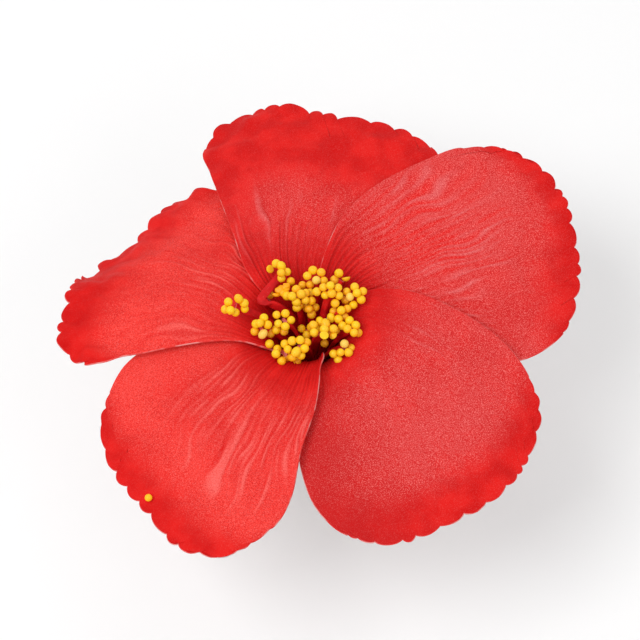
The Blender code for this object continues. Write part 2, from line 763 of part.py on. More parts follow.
def make_jaw(material, pin_hole, pivot):
    """The turning jaw: a folded strip with two toothed flanges."""
    half = JAW_WIDTH / 2
    form = prism(jaw_web_outline(), WEB_INSET - half, half - WEB_INSET)
    jaw = add_object("clip_jaw", to_mesh("clip_jaw", form), material)
    add_side_walls(jaw, "jaw_flange", jaw_side_outline(), half, JAW_THICKNESS)
    add_boolean(jaw, pin_hole, "DIFFERENCE")
    jaw.data.transform(Matrix.Translation((-PIN_X * MM, 0, -PIN_Z * MM)))
    jaw.parent = pivot
    return jaw


def make_pivot():
    """The jaw's turning axis: an empty on the pin's centre line."""
    pivot = bpy.data.objects.new("jaw_pivot", None)
    bpy.context.scene.collection.objects.link(pivot)
    pivot.location = (PIN_X * MM, 0, PIN_Z * MM)
    return pivot


def make_pin(material):
    """The rivet pin with a low head at each end, lying along Y."""
    reach = PLATE_WIDTH / 2 + GAP
    end = reach + PIN_HEAD_LENGTH
    profile = [
        (0, -end),
        (PIN_HEAD_R - PIN_HEAD_CHAMFER, -end),
        (PIN_HEAD_R, PIN_HEAD_CHAMFER - end),
        (PIN_HEAD_R, -reach),
        (PIN_R, -reach),
        (PIN_R, reach),
        (PIN_HEAD_R, reach),
        (PIN_HEAD_R, end - PIN_HEAD_CHAMFER),
        (PIN_HEAD_R - PIN_HEAD_CHAMFER, end),
        (0, end),
    ]
    form = turned(profile, SMALL_ROUND_STEPS)
    placing = Matrix.Translation((PIN_X, 0, PIN_Z)) @ Matrix.Rotation(math.pi / 2, 4, "X")
    bmesh.ops.transform(form, matrix=placing, verts=form.verts)
    return add_object("hinge_pin", to_mesh("hinge_pin", form), material)


def spring_centre_line():
    """The leaf spring's (x, z) line: under the plate, round the pin's front, along the thumb tab."""
    top_z = -GAP - SPRING_THICKNESS / 2
    tab_slope = (JAW_REAR_Z - WEB_Z) / (JAW_REAR_X - JAW_LIP - WEB_REAR_X)
    leg_start_z = PIN_Z - SPRING_WRAP_R
    leg_run = SPRING_LEG_END_X - SPRING_LEG_START_X
    return [
        (SPRING_TOP_END_X, top_z),
        (SPRING_TOP_BEND_X, top_z - SPRING_TOP_SAG),
        *arc(PIN_X, PIN_Z, SPRING_WRAP_R, 90, 250, ARC_STEPS),
        (SPRING_LEG_START_X, leg_start_z),
        (SPRING_LEG_END_X, leg_start_z + tab_slope * leg_run + SPRING_LEG_LIFT),
    ]


def make_spring(material):
    line = [Vector((x, 0, z)) for x, z in spring_centre_line()]
    half = SPRING_THICKNESS / 2
    left = []
    right = []
    for k, point in enumerate(line):
        before = line[max(k - 1, 0)]
        after = line[min(k + 1, len(line) - 1)]
        along = (after - before).normalized()
        normal = Vector((-along.z, 0, along.x))
        left.append((point.x + normal.x * half, point.z + normal.z * half))
        right.append((point.x - normal.x * half, point.z - normal.z * half))
    form = prism(left + right[::-1], -SPRING_WIDTH / 2, SPRING_WIDTH / 2)
    return add_object("leaf_spring", to_mesh("leaf_spring", form), material)


# ---------------------------------------------------------------- assembly


def make_flower():
    foam = petal_material()
    for name, spec in PETALS.items():
        make_petal(name, spec, foam)
    strip = stamen_material()
    bead = bead_material()
    for index in range(len(STAMENS)):
        make_stamen(index, strip)
        make_clump(index, bead)
    make_stray_bead(bead)


def make_backing():
    glue = glue_material()
    make_glue_core(glue)
    make_clip_glue(glue)
    make_felt(felt_material())


def make_clip():
    steel = steel_material()
    pin_hole = make_pin_cutter()
    make_plate(steel, pin_hole)
    make_jaw(steel, pin_hole, make_pivot())
    make_pin(steel)
    make_spring(spring_material())


def main():
    clear_objects()
    make_flower()
    make_backing()
    make_clip()


main()
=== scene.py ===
"""Flower hair clip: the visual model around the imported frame.

Metres in Blender. Lengths in this file are in millimetres until a mesh is made.
The petals repeat part.py's outlines and trumpet on a fine grid, with pressed veins.
"""

import math

import bmesh
import bpy
import numpy as np
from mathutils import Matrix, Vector


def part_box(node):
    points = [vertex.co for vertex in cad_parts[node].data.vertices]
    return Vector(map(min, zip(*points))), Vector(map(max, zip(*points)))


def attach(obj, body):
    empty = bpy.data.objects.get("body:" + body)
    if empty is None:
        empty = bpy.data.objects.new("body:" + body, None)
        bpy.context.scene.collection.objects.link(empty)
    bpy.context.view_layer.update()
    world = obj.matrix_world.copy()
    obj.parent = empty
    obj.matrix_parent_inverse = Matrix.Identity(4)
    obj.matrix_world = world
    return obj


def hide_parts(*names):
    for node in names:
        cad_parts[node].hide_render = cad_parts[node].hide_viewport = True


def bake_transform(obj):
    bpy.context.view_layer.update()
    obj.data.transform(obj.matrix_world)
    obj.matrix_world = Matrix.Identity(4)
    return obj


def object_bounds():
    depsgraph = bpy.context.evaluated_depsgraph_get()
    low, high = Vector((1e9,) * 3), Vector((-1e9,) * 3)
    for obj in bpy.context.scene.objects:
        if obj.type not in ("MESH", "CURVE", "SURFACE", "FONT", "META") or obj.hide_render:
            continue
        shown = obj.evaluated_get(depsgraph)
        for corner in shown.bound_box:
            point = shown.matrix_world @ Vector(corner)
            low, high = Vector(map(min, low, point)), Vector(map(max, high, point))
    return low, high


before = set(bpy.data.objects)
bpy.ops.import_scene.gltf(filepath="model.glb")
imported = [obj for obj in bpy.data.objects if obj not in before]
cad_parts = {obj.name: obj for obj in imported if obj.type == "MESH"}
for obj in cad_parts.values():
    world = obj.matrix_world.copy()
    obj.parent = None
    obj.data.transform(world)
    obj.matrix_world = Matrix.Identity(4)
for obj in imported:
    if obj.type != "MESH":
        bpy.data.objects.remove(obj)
CAD_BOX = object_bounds()

MM = 0.001
ROOT_BODY = "flower"

# ---------------------------------------------------------------- values repeated from part.py

MOUTH_Z = 27.8
THROAT_R = 6.0
THROAT_DEPTH = 22.0
FLARE_LENGTH = 3.2
CREST_R = 28.0
DROOP = 0.0035
THROAT_LEFT_DEG = 66.0
THROAT_RIGHT_DEG = 42.0
LAYER_STEP = 1.5
LAYER_TURN_DEG = 60.0
LAYER_GROWTH = 0.02
LAYER_START_R = 10.0
SWELLS = ((135.0, 26.0, -14.0), (38.0, 30.0, 6.0), (-50.0, 30.0, 3.0), (-125.0, 26.0, 1.0))
SWELL_START_R = 18.0
SWELL_LENGTH = 40.0
SWELL_POWER = 1.6
SWELL_LIMIT = 1.4
PETALS = {
    "petal_1": {
        "axis_deg": 88.0,
        "scallops": 12,
        "upper": ((10, 14.5), (24, 19.5), (43, 25.5)),
        "rim": ((53.5, 28), (62, 21.5), (63.5, 8.5), (59, -5), (56.5, -17), (49.5, -27)),
        "tucked": ((40, -29), (26, -22), (10, -11)),
    },
    "petal_2": {
        "axis_deg": 27.0,
        "scallops": 15,
        "upper": ((12, 15.5), (20, 21.5), (31, 25), (44, 25.5)),
        "rim": ((52, 24.5), (60, 20), (66, 12), (67.5, 2), (65.5, -8), (60.5, -19), (51, -28)),
        "tucked": ((38, -30), (24, -23), (9, -11)),
    },
    "petal_3": {
        "axis_deg": -48.0,
        "scallops": 15,
        "upper": ((3, 14), (10, 21), (22, 26), (34, 28)),
        "rim": ((44, 26.5), (53, 21.5), (59.5, 10), (61, -1), (58.5, -13), (53.5, -24), (45, -30)),
        "tucked": ((34.5, -30.5), (22, -24), (9, -11)),
    },
    "petal_4": {
        "axis_deg": -132.0,
        "scallops": 14,
        "upper": ((8, 10.5), (17.5, 16.5), (27, 21), (37, 27)),
        "rim": ((45, 28.5), (56, 25), (61.5, 16), (60.5, 5.5), (58, -8), (52, -17.5), (44, -22.5)),
        "tucked": ((34, -24.5), (22, -20), (9, -10.5)),
    },
    "petal_5": {
        "axis_deg": 155.0,
        "scallops": 14,
        "upper": ((4.5, 10.5), (12.5, 12.5), (20, 16.5), (33, 26)),
        "rim": ((42, 32), (51, 28.5), (55, 16.5), (57, 4.5), (51, -7), (50, -17), (45.5, -26)),
        "tucked": ((34, -27), (22, -20), (9, -10.5)),
    },
}
SCALLOP_DEPTH = 1.2
SCALLOP_FADE = 0.22  # part.py fades its coarser lobes sooner
OUTLINE_SAMPLES = 5000
CURL_PETAL = "petal_5"
CURL_DEPTH = 7.0
CURL_START = 42.0
CURL_LENGTH = 14.0
CURL_ACROSS = 1.0
CURL_HALF_WIDTH = 8.0
STAMENS = (
    (-17.7, 0.9, 4.7, 2, 169.0),
    (-7.1, 10.9, 2.4, 2, 126.0),
    (-3.6, 4.9, 2.2, 1, 150.0),
    (0.9, 9.2, 3.0, 2, 90.0),
    (4.1, 5.6, 4.5, 1, 30.0),
    (6.6, 9.8, 1.8, 2, 54.0),
    (6.4, 1.4, 2.0, 1, -30.0),
    (10.3, 4.8, 2.5, 2, 18.0),
    (9.4, -2.9, 1.0, 2, -18.0),
    (7.1, -7.4, -0.6, 2, -54.0),
    (2.1, -4.6, 1.6, 1, -90.0),
    (-2.5, -8.5, 2.6, 2, -90.0),
    (-6.6, -8.65, -0.2, 2, -126.0),
    (-6.4, -1.4, 2.2, 1, -150.0),
    (-11.9, -3.0, 2.0, 2, -162.0),
    (-0.1, 4.0, -2.3, 1, 90.0),
    (-0.8, -0.9, -3.4, 0, 90.0),
)
BENT_STAMEN = 1
BENT_ELBOW = (-12.3, 4.1, 1.6)
BENT_ELBOW_SHARE = 0.7
STAMEN_ROOT_R = (0.0, 1.9, 3.5)
STAMEN_LEAN = (0.0, 0.04, 0.2)
STAMEN_ROOT_Z = 11.5
STAMEN_START_RISE = 0.55
STAMEN_TIP_SPREAD = 0.36
STAMEN_TIP_RISE = 0.16
BEAD_R = 1.0
STRAY_BEAD_R = 0.85

# ---------------------------------------------------------------- camera

VIEW_ELEVATION_DEG = 60.0
VIEW_DISTANCE = 600.0
VIEW_WIDTH = 147.2  # width of the frame at the flower's mouth
SENSOR_WIDTH = 36.0
VIEW_SHIFT = 0.0125  # the flower's axis lies a little left of the frame's middle
VIEW_TILT = math.radians(VIEW_ELEVATION_DEG)
VIEW_UP = Vector((0, math.sin(VIEW_TILT), math.cos(VIEW_TILT)))
VIEW_OUT = Vector((0, -math.cos(VIEW_TILT), math.sin(VIEW_TILT)))
VIEW_RIGHT = Vector((1, 0, 0))
LATTICE_SIZE = 64  # the smooth noise repeats after this many features

# ---------------------------------------------------------------- helpers


class Paint:
    """A new material's nodes, from its object coordinates in metres to its Principled shader."""

    def __init__(self, name):
        self.material = bpy.data.materials.new(name)
        self.material.use_nodes = True
        self.tree = self.material.node_tree
        self.shader = self.tree.nodes["Principled BSDF"]
        self.where = self.add("TexCoord").outputs["Object"]

    def add(self, kind):
        return self.tree.nodes.new("ShaderNode" + kind)

    def plug(self, value, socket):
        """Links a socket, or sets a number or a colour."""
        if isinstance(value, bpy.types.NodeSocket):
            self.tree.links.new(value, socket)
        elif isinstance(value, tuple) and socket.type == "RGBA":
            socket.default_value = (*value, 1.0)
        else:
            socket.default_value = value

    def noise(self, scale, detail=2.0, roughness=0.5, where=None):
        node = self.add("TexNoise")
        for name, value in (("Scale", scale), ("Detail", detail), ("Roughness", roughness)):
            node.inputs[name].default_value = value
        self.tree.links.new(where or self.where, node.inputs["Vector"])
        return node.outputs["Fac"]

    def stretched(self, turn, scale):
        """Coordinates turned about Z, then scaled."""
        node = self.add("Mapping")
        node.inputs["Rotation"].default_value = (0.0, 0.0, turn)
        node.inputs["Scale"].default_value = scale
        self.tree.links.new(self.where, node.inputs["Vector"])
        return node.outputs["Vector"]

    def mark(self, name):
        """A value stored on the mesh's points."""
        node = self.add("Attribute")
        node.attribute_name = name
        return node.outputs["Fac"]

    def ramp(self, factor, low, high, from_value=0.0, to_value=1.0):
        """Maps a factor between low and high to from_value and to_value, with smooth ends."""
        node = self.add("MapRange")
        node.interpolation_type = "SMOOTHSTEP"
        limits = {"From Min": low, "From Max": high, "To Min": from_value, "To Max": to_value}
        for name, value in limits.items():
            node.inputs[name].default_value = value
        self.tree.links.new(factor, node.inputs["Value"])
        return node.outputs["Result"]

    def combine(self, operation, first, second):
        node = self.add("Math")
        node.operation = operation
        self.plug(first, node.inputs[0])
        self.plug(second, node.inputs[1])
        return node.outputs[0]

    def times(self, first, second):
        return self.combine("MULTIPLY", first, second)

    def mix(self, factor, first, second):
        """Mixes two colours, each a tuple or a socket."""
        node = self.add("Mix")
        node.data_type = "RGBA"
        self.plug(factor, node.inputs["Factor"])
        self.plug(first, node.inputs[6])
        self.plug(second, node.inputs[7])
        return node.outputs[2]

    def bump(self, height, distance, strength):
        node = self.add("Bump")
        node.inputs["Strength"].default_value = strength
        node.inputs["Distance"].default_value = distance
        self.tree.links.new(height, node.inputs["Height"])
        self.tree.links.new(node.outputs["Normal"], self.shader.inputs["Normal"])

    def finish(self, colour, **inputs):
        """Sets the shader's colour and other inputs; underscores in their names stand for spaces."""
        self.plug(colour, self.shader.inputs["Base Color"])
        for name, value in inputs.items():
            self.plug(value, self.shader.inputs[name.replace("_", " ")])
        return self.material


def link_object(name, data):
    item = bpy.data.objects.new(name, data)
    bpy.context.scene.collection.objects.link(item)
    return item


def add_piece(name, points, faces, materials, slots=None):
    """Links a smooth mesh given in millimetres as a named object."""
    mesh = bpy.data.meshes.new(name)
    mesh.from_pydata((np.asarray(points, float) * MM).tolist(), [], faces)
    for material in materials:
        mesh.materials.append(material)
    if slots is not None:
        mesh.polygons.foreach_set("material_index", slots)
    mesh.shade_smooth()
    mesh.update()
    return link_object(name, mesh)


def place_piece(piece, node):
    """The piece replaces a node of the flower's body and rides on that body."""
    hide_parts(node)
    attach(piece, ROOT_BODY)


def make_outward(piece):
    """Turns the faces of a closed mesh outwards."""
    form = bmesh.new()
    form.from_mesh(piece.data)
    bmesh.ops.recalc_face_normals(form, faces=form.faces)
    form.to_mesh(piece.data)
    form.free()


def tube_faces(first, rings, sides):
    """Side faces and two end caps of a tube whose rings of points start at number first."""
    faces = []
    for low in range(first, first + (rings - 1) * sides, sides):
        for c in range(sides):
            n = (c + 1) % sides
            faces.append((low + c, low + n, low + sides + n, low + sides + c))
    last = first + (rings - 1) * sides
    faces.append(tuple(range(first, first + sides))[::-1])
    faces.append(tuple(range(last, last + sides)))
    return faces


def thread_ring(centre, side, other, radius, sides):
    """Points round one place on a thin thread."""
    ring = []
    for j in range(sides):
        turn = 2 * math.pi * j / sides
        ring.append(tuple(centre + side * (radius * math.cos(turn)) + other * (radius * math.sin(turn))))
    return ring


def seen_from(origin, right, up, out):
    """The place to the right of, above and in front of another, seen from the tilted front."""
    return origin + VIEW_RIGHT * right + VIEW_UP * up + VIEW_OUT * out


def lattice_noise(u, v, seed):
    """Smooth noise from -1 to 1 on a plane, one feature for each unit of u and v."""
    size = LATTICE_SIZE
    table = np.random.default_rng(seed).uniform(-1, 1, (size, size))
    iu = np.floor(u).astype(int)
    iv = np.floor(v).astype(int)
    fu = u - iu
    fv = v - iv
    su = fu**3 * (fu * (fu * 6 - 15) + 10)
    sv = fv**3 * (fv * (fv * 6 - 15) + 10)
    low = table[iu % size, iv % size] * (1 - sv) + table[iu % size, (iv + 1) % size] * sv
    high = table[(iu + 1) % size, iv % size] * (1 - sv) + table[(iu + 1) % size, (iv + 1) % size] * sv
    return low * (1 - su) + high * su


def smooth_step(value, low, high):
    t = np.clip((value - low) / (high - low), 0, 1)
    return t * t * (3 - 2 * t)


# ---------------------------------------------------------------- materials

# Noise scales are in cells to the metre, and bump distances in metres.
RIM_REDS = ((0.61, 0.004, 0.004), (0.76, 0.011, 0.009))
# Painted sheen colours: warm, then a greyish painted reflection.
SHEEN_REDS = ((0.92, 0.052, 0.040), (0.70, 0.048, 0.048))  # warm, then greyish
# Pale ridge colours, partly a painted highlight on the ridges' tops: warm, then greyish.
RIDGE_PINKS = ((0.95, 0.125, 0.105), (0.74, 0.170, 0.175))
# Groove reds, partly painted shade in the creases: without the painted sheen, then under it.
GROOVE_REDS = ((0.50, 0.006, 0.006), (0.78, 0.013, 0.011))
# Painted shade deep in the throat.
THROAT_SHADE_RED = (0.44, 0.002, 0.004)
# Painted shade on petal_3.
SHADE_RED = (0.52, 0.010, 0.011)
# Painted glints in the grain and the dark pits between them, shown only under the painted sheen.
SPARKLE_PINK = (0.93, 0.26, 0.24)
PIT_RED = (0.50, 0.006, 0.006)
EDGE_COLOURS = ((0.80, 0.32, 0.30), (0.76, 0.04, 0.035))
# Painted shade on the cut edge deep in the throat.
EDGE_THROAT_SHADE = (0.30, 0.001, 0.003)
BACK_WHITES = ((0.78, 0.74, 0.74), (0.80, 0.58, 0.57))
BACK_VEIN = (0.76, 0.50, 0.49)
BACK_THROAT = (0.70, 0.25, 0.25)
STRIP_REDS = ((0.50, 0.003, 0.006), (0.74, 0.010, 0.012))
STRIP_SPECK = (0.85, 0.20, 0.20)
STRIP_END_REDS = ((0.78, 0.20, 0.20), (0.60, 0.02, 0.03))
BEAD_YELLOWS = ((1.0, 0.62, 0.004), (1.0, 0.45, 0.003))  # plain, then warm; the warm one is also painted shade on the beads further back
BEAD_MOTTLE = (1.0, 0.72, 0.02)
BEAD_PALE = (0.97, 0.66, 0.12)
BEAD_GLOW = {"Subsurface_Weight": 0.2, "Subsurface_Scale": 0.0006, "Subsurface_Radius": (1.0, 0.5, 0.1)}
GLUE_MILKS = ((0.80, 0.74, 0.62), (0.88, 0.86, 0.80))
CLEAR_GLUES = ((0.98, 0.88, 0.62), (1.0, 0.95, 0.82))
SMEAR_YELLOWS = ((0.92, 0.34, 0.002), (1.0, 0.50, 0.004))
FELT_GREYS = ((0.62, 0.61, 0.58), (0.84, 0.83, 0.80))
FELT_STAIN = (0.70, 0.68, 0.64)
FIBRE_STRETCH = 0.12
BRUSH_STRETCH = 0.04
STEEL_MARK_DARKNESS = 0.72


def petal_top_material():
    """Red pressed foam: a saturated rim, grooves darker partly by painted shade, raised veins paler partly by
    a painted highlight, a warm or greyish painted sheen over each petal's middle, painted shade deep in the
    throat and on petal_3's tucked side, and a fine grain with painted glints.
    """
    paint = Paint("petal_face")
    # Painted sheen: how much lies on each point, and how greyish it is, as a painted reflection.
    bloom = paint.mark("bloom")
    haze = paint.mark("haze")
    patches = paint.noise(90.0, 3.0)
    grain = paint.noise(3300.0, 2.0, 0.6)
    speck = paint.noise(5000.0, 1.0)
    blotch = paint.noise(160.0)
    rim = paint.mix(paint.ramp(blotch, 0.35, 0.7), *RIM_REDS)
    # The painted sheen lies over the rim red in patches, broken up by the grain.
    spread = paint.times(bloom, paint.ramp(patches, 0.3, 0.7, 0.7, 1.25))
    grainy_sheen = paint.times(spread, paint.ramp(grain, 0.38, 0.62, 0.45, 1.45))
    face = paint.mix(grainy_sheen, rim, paint.mix(haze, *SHEEN_REDS))
    # Paler raised veins: partly the foam's own colour, partly a painted highlight, stronger under the painted
    # sheen.
    raised = paint.times(paint.ramp(paint.mark("relief"), 0.15, 0.9), paint.ramp(grain, 0.38, 0.62, 0.5, 1.1))
    raised = paint.times(raised, paint.combine("ADD", bloom, 0.4))
    veined = paint.mix(raised, face, paint.mix(haze, *RIDGE_PINKS))
    # Darker grooves: partly the foam's deeper red, partly painted shade in the creases.
    grooved = paint.mix(paint.times(paint.mark("groove"), 0.9), veined, paint.mix(bloom, *GROOVE_REDS))
    # Painted shade deep in the throat.
    deep = paint.mix(paint.mark("throat"), grooved, THROAT_SHADE_RED)
    # Painted shade towards petal_3's tucked side.
    shaded = paint.mix(paint.times(paint.mark("shade"), 0.75), deep, SHADE_RED)
    # Painted glints, and dark pits that break up the painted sheen, only where the sheen lies.
    sheen_for_specks = paint.times(paint.ramp(bloom, 0.0, 0.6, 0.2, 1.0), paint.ramp(haze, 0.0, 1.0, 0.55, 1.0))
    sparkle = paint.times(paint.ramp(speck, 0.50, 0.68, 0.0, 0.56), sheen_for_specks)
    pits = paint.times(paint.ramp(speck, 0.47, 0.33, 0.0, 0.60), sheen_for_specks)
    colour = paint.mix(pits, paint.mix(sparkle, shaded, SPARKLE_PINK), PIT_RED)
    paint.bump(grain, 0.00012, 0.6)
    return paint.finish(colour, Roughness=paint.ramp(grain, 0.3, 0.7, 0.55, 0.78), Specular_IOR_Level=0.09)


def petal_edge_material():
    """The cut edge: pale foam with a wash of red, and painted shade deep in the throat."""
    paint = Paint("petal_cut_edge")
    washed = paint.mix(paint.ramp(paint.noise(260.0, 3.0), 0.34, 0.56), *EDGE_COLOURS)
    paint.bump(paint.noise(2600.0), 0.0001, 0.5)
    # Painted shade deep in the throat.
    colour = paint.mix(paint.mark("throat"), washed, EDGE_THROAT_SHADE)
    return paint.finish(colour, Roughness=0.8, Specular_IOR_Level=0.15)


def petal_back_material():
    """The unprinted back: white foam, faintly pink where the dye shows through, and darker and redder towards
    the throat.
    """
    paint = Paint("petal_back")
    white = paint.mix(paint.ramp(paint.noise(55.0, 4.0, 0.6), 0.35, 0.75), *BACK_WHITES)
    veined = paint.mix(paint.ramp(paint.mark("relief"), 0.3, 1.0, 0.0, 0.5), white, BACK_VEIN)
    # Darker and redder towards the throat.
    colour = paint.mix(paint.times(paint.mark("throat"), 0.35), veined, BACK_THROAT)
    paint.bump(paint.noise(2200.0), 0.0001, 0.5)
    return paint.finish(colour, Roughness=0.82, Specular_IOR_Level=0.2)


def strip_material():
    """The stamens' cut foam strips."""
    paint = Paint("stamen_strip")
    grain = paint.noise(3000.0)
    red = paint.mix(paint.ramp(paint.noise(400.0, 3.0), 0.3, 0.7), *STRIP_REDS)
    colour = paint.mix(paint.ramp(grain, 0.62, 0.75, 0.0, 0.35), red, STRIP_SPECK)
    paint.bump(grain, 0.0001, 0.5)
    return paint.finish(colour, Roughness=0.6, Specular_IOR_Level=0.2)


def strip_end_material():
    """The paler cut ends of the strips."""
    paint = Paint("stamen_cut_end")
    wash = paint.noise(900.0)
    paint.bump(wash, 0.0001, 0.4)
    return paint.finish(paint.mix(paint.ramp(wash, 0.35, 0.65), *STRIP_END_REDS), Roughness=0.7)


def bead_material():
    """Painted foam beads: yellow, with a warmer cast on some, an orange cast of painted shade on those
    further back, and a whitish one here and there.
    """
    paint = Paint("yellow_bead")
    pores = paint.noise(2400.0)
    yellow = paint.mix(paint.mark("warmth"), *BEAD_YELLOWS)
    mottled = paint.mix(paint.ramp(paint.noise(700.0, 3.0), 0.35, 0.75, 0.0, 0.35), yellow, BEAD_MOTTLE)
    colour = paint.mix(paint.mark("paleness"), mottled, BEAD_PALE)
    roughness = paint.ramp(pores, 0.3, 0.7, 0.32, 0.48)
    paint.bump(pores, 0.00005, 0.4)
    return paint.finish(colour, Roughness=roughness, Specular_IOR_Level=0.35, **BEAD_GLOW)


def glue_material():
    """Set hot glue: milky and glossy."""
    paint = Paint("set_glue")
    cloud = paint.noise(240.0, 3.0)
    colour = paint.mix(paint.ramp(cloud, 0.3, 0.7), *GLUE_MILKS)
    paint.bump(cloud, 0.0003, 0.5)
    milky = {"Subsurface_Weight": 0.5, "Subsurface_Scale": 0.002}
    return paint.finish(colour, Roughness=0.18, Coat_Weight=0.4, **milky)


def clear_glue_material():
    """Thin strings and dabs of clear glue among the beads."""
    paint = Paint("clear_glue")
    colour = paint.mix(paint.noise(900.0), *CLEAR_GLUES)
    return paint.finish(colour, Roughness=0.08, Transmission_Weight=0.75, IOR=1.48)


def smear_material():
    """Glue that took up the beads' yellow."""
    paint = Paint("yellow_smear")
    cloud = paint.noise(600.0, 3.0)
    colour = paint.mix(paint.ramp(cloud, 0.3, 0.7), *SMEAR_YELLOWS)
    paint.bump(cloud, 0.0002, 0.5)
    return paint.finish(colour, Roughness=0.35, Specular_IOR_Level=0.25)


def felt_material():
    """White felt: matted crossing fibres."""
    paint = Paint("white_felt")
    first = paint.noise(3600.0, 3.0, 0.6, paint.stretched(0.9, (1.0, FIBRE_STRETCH, 1.0)))
    second = paint.noise(3600.0, 3.0, 0.6, paint.stretched(-0.6, (FIBRE_STRETCH, 1.0, 1.0)))
    fibres = paint.combine("MAXIMUM", first, second)
    matted = paint.mix(paint.ramp(fibres, 0.4, 0.7), *FELT_GREYS)
    colour = paint.mix(paint.ramp(paint.noise(220.0, 3.0), 0.4, 0.8, 0.0, 0.3), matted, FELT_STAIN)
    paint.bump(fibres, 0.00025, 0.8)
    return paint.finish(colour, Roughness=0.95, Sheen_Weight=0.5, Sheen_Roughness=0.5)


def steel_material(name, base, roughness, brush_scale):
    """Plated steel, with fine brushing along X, handling marks and darker specks."""
    paint = Paint(name)
    brushing = paint.noise(brush_scale, 3.0, 0.6, paint.stretched(0.0, (BRUSH_STRETCH, 1.0, 1.0)))
    marks = paint.noise(300.0, 4.0, 0.6)
    dark = tuple(value * STEEL_MARK_DARKNESS for value in base)
    colour = paint.mix(paint.ramp(marks, 0.58, 0.78, 0.0, 0.7), base, dark)
    worn = paint.ramp(marks, 0.35, 0.7, 0.0, 0.14)
    worn = paint.combine("ADD", worn, paint.ramp(brushing, 0.3, 0.7, 0.0, 0.1))
    paint.bump(brushing, 0.00003, 0.5)
    return paint.finish(colour, Roughness=paint.combine("ADD", worn, roughness), Metallic=1.0)


# ---------------------------------------------------------------- petal shape

# Where each petal's grid has its two outer corners, as places in its list of rim points.
GRID_CORNERS = {"petal_1": (0, 5), "petal_2": (1, 6), "petal_3": (1, 6), "petal_4": (1, 5), "petal_5": (0, 6)}
PETAL_ROWS = 150
PETAL_COLUMNS = 210
ROW_CROWDING = 1.25
LOBE_UNEVENNESS = 0.45
LOBE_ROUNDNESS = 0.65
LOBE_DEPTH_SPREAD = 0.35
NORMAL_STEP = 0.05


def outline_points(spec):
    """The whole outline from the throat's upper corner round to its tucked corner."""
    corners = []
    for turn_deg in (THROAT_LEFT_DEG, -THROAT_RIGHT_DEG):
        turn = math.radians(turn_deg)
        corners.append((THROAT_R * math.cos(turn), THROAT_R * math.sin(turn)))
    return [corners[0], *spec["upper"], *spec["rim"], *spec["tucked"], corners[1]]


def smooth_curve(points):
    """A dense smooth curve through all the given (along, across) points."""
    p = np.array(points, float)
    knots = np.concatenate([[0], np.cumsum(np.sqrt(np.linalg.norm(np.diff(p, axis=0), axis=1)))])
    slopes = np.empty_like(p)
    slopes[1:-1] = (p[2:] - p[:-2]) / (knots[2:] - knots[:-2])[:, None]
    slopes[0] = (p[1] - p[0]) / (knots[1] - knots[0])
    slopes[-1] = (p[-1] - p[-2]) / (knots[-1] - knots[-2])
    fine = np.linspace(knots[0], knots[-1], OUTLINE_SAMPLES)
    k = np.clip(np.searchsorted(knots, fine, side="right") - 1, 0, len(p) - 2)
    span = knots[k + 1] - knots[k]
    t = (fine - knots[k]) / span
    return (
        (2 * t**3 - 3 * t**2 + 1)[:, None] * p[k]
        + ((t**3 - 2 * t**2 + t) * span)[:, None] * slopes[k]
        + (3 * t**2 - 2 * t**3)[:, None] * p[k + 1]
        + ((t**3 - t**2) * span)[:, None] * slopes[k + 1]
    )


def lengths_along(curve):
    return np.concatenate([[0], np.cumsum(np.linalg.norm(np.diff(curve, axis=0), axis=1))])


def resampled(curve, shares):
    """Points at shares of a curve's length."""
    length = lengths_along(curve)
    at = np.asarray(shares) * length[-1]
    return np.stack([np.interp(at, length, curve[:, axis]) for axis in (0, 1)], 1)


def nearest(curve, point):
    return int(np.argmin(np.linalg.norm(curve - np.array(point, float), axis=1)))


def scalloped(curve, start, end, count, lobe_depth, seed):
    """Cuts lobes of uneven width and depth between two places on the outline."""
    length = lengths_along(curve)
    share = np.clip((length - length[start]) / (length[end] - length[start]), 0, 1)
    random = np.random.default_rng(seed)
    widths = 1 + LOBE_UNEVENNESS * random.uniform(-1, 1, count)
    borders = np.concatenate([[0], np.cumsum(widths)]) / widths.sum()
    lobe = np.interp(share, borders, np.arange(count + 1))
    depths = 1 + LOBE_DEPTH_SPREAD * random.uniform(-1, 1, count + 1)
    depth = lobe_depth * depths[np.rint(lobe).astype(int)]
    valley = 1 - np.abs(np.sin(math.pi * lobe)) ** LOBE_ROUNDNESS
    fade = np.clip(np.sin(math.pi * share), 0, 1) ** SCALLOP_FADE
    tangent = np.gradient(curve, axis=0)
    tangent /= np.linalg.norm(tangent, axis=1)[:, None]
    outward = np.stack([-tangent[:, 1], tangent[:, 0]], 1)
    return curve - outward * (depth * valley * fade)[:, None]


def petal_plan(name, veins):
    """A petal's flat grid: a blend of its throat arc, its two side edges and its scalloped rim."""
    spec = PETALS[name]
    curve = smooth_curve(outline_points(spec))
    ends = [nearest(curve, spec["rim"][k]) for k in (0, -1)]
    first, last = (nearest(curve, spec["rim"][k]) for k in GRID_CORNERS[name])
    curve = scalloped(curve, *ends, spec["scallops"], SCALLOP_DEPTH * veins["lobes"], veins["seed"])
    turns = np.linspace(math.radians(THROAT_LEFT_DEG), -math.radians(THROAT_RIGHT_DEG), PETAL_COLUMNS)
    throat = THROAT_R * np.stack([np.cos(turns), np.sin(turns)], 1)
    rise = np.linspace(0, 1, PETAL_ROWS) ** ROW_CROWDING
    share = np.linspace(0, 1, PETAL_COLUMNS)
    upper = resampled(curve[: first + 1], rise)
    rim = resampled(curve[first : last + 1], share)
    tucked = resampled(curve[last:][::-1], rise)
    p = rise[:, None, None]
    q = share[None, :, None]
    along_ends = (1 - p) * throat[None] + p * rim[None]
    along_sides = (1 - q) * upper[:, None] + q * tucked[:, None]
    lower_corners = (1 - p) * ((1 - q) * throat[0] + q * throat[-1])
    rim_corners = p * ((1 - q) * rim[0] + q * rim[-1])
    return along_ends + along_sides - lower_corners - rim_corners


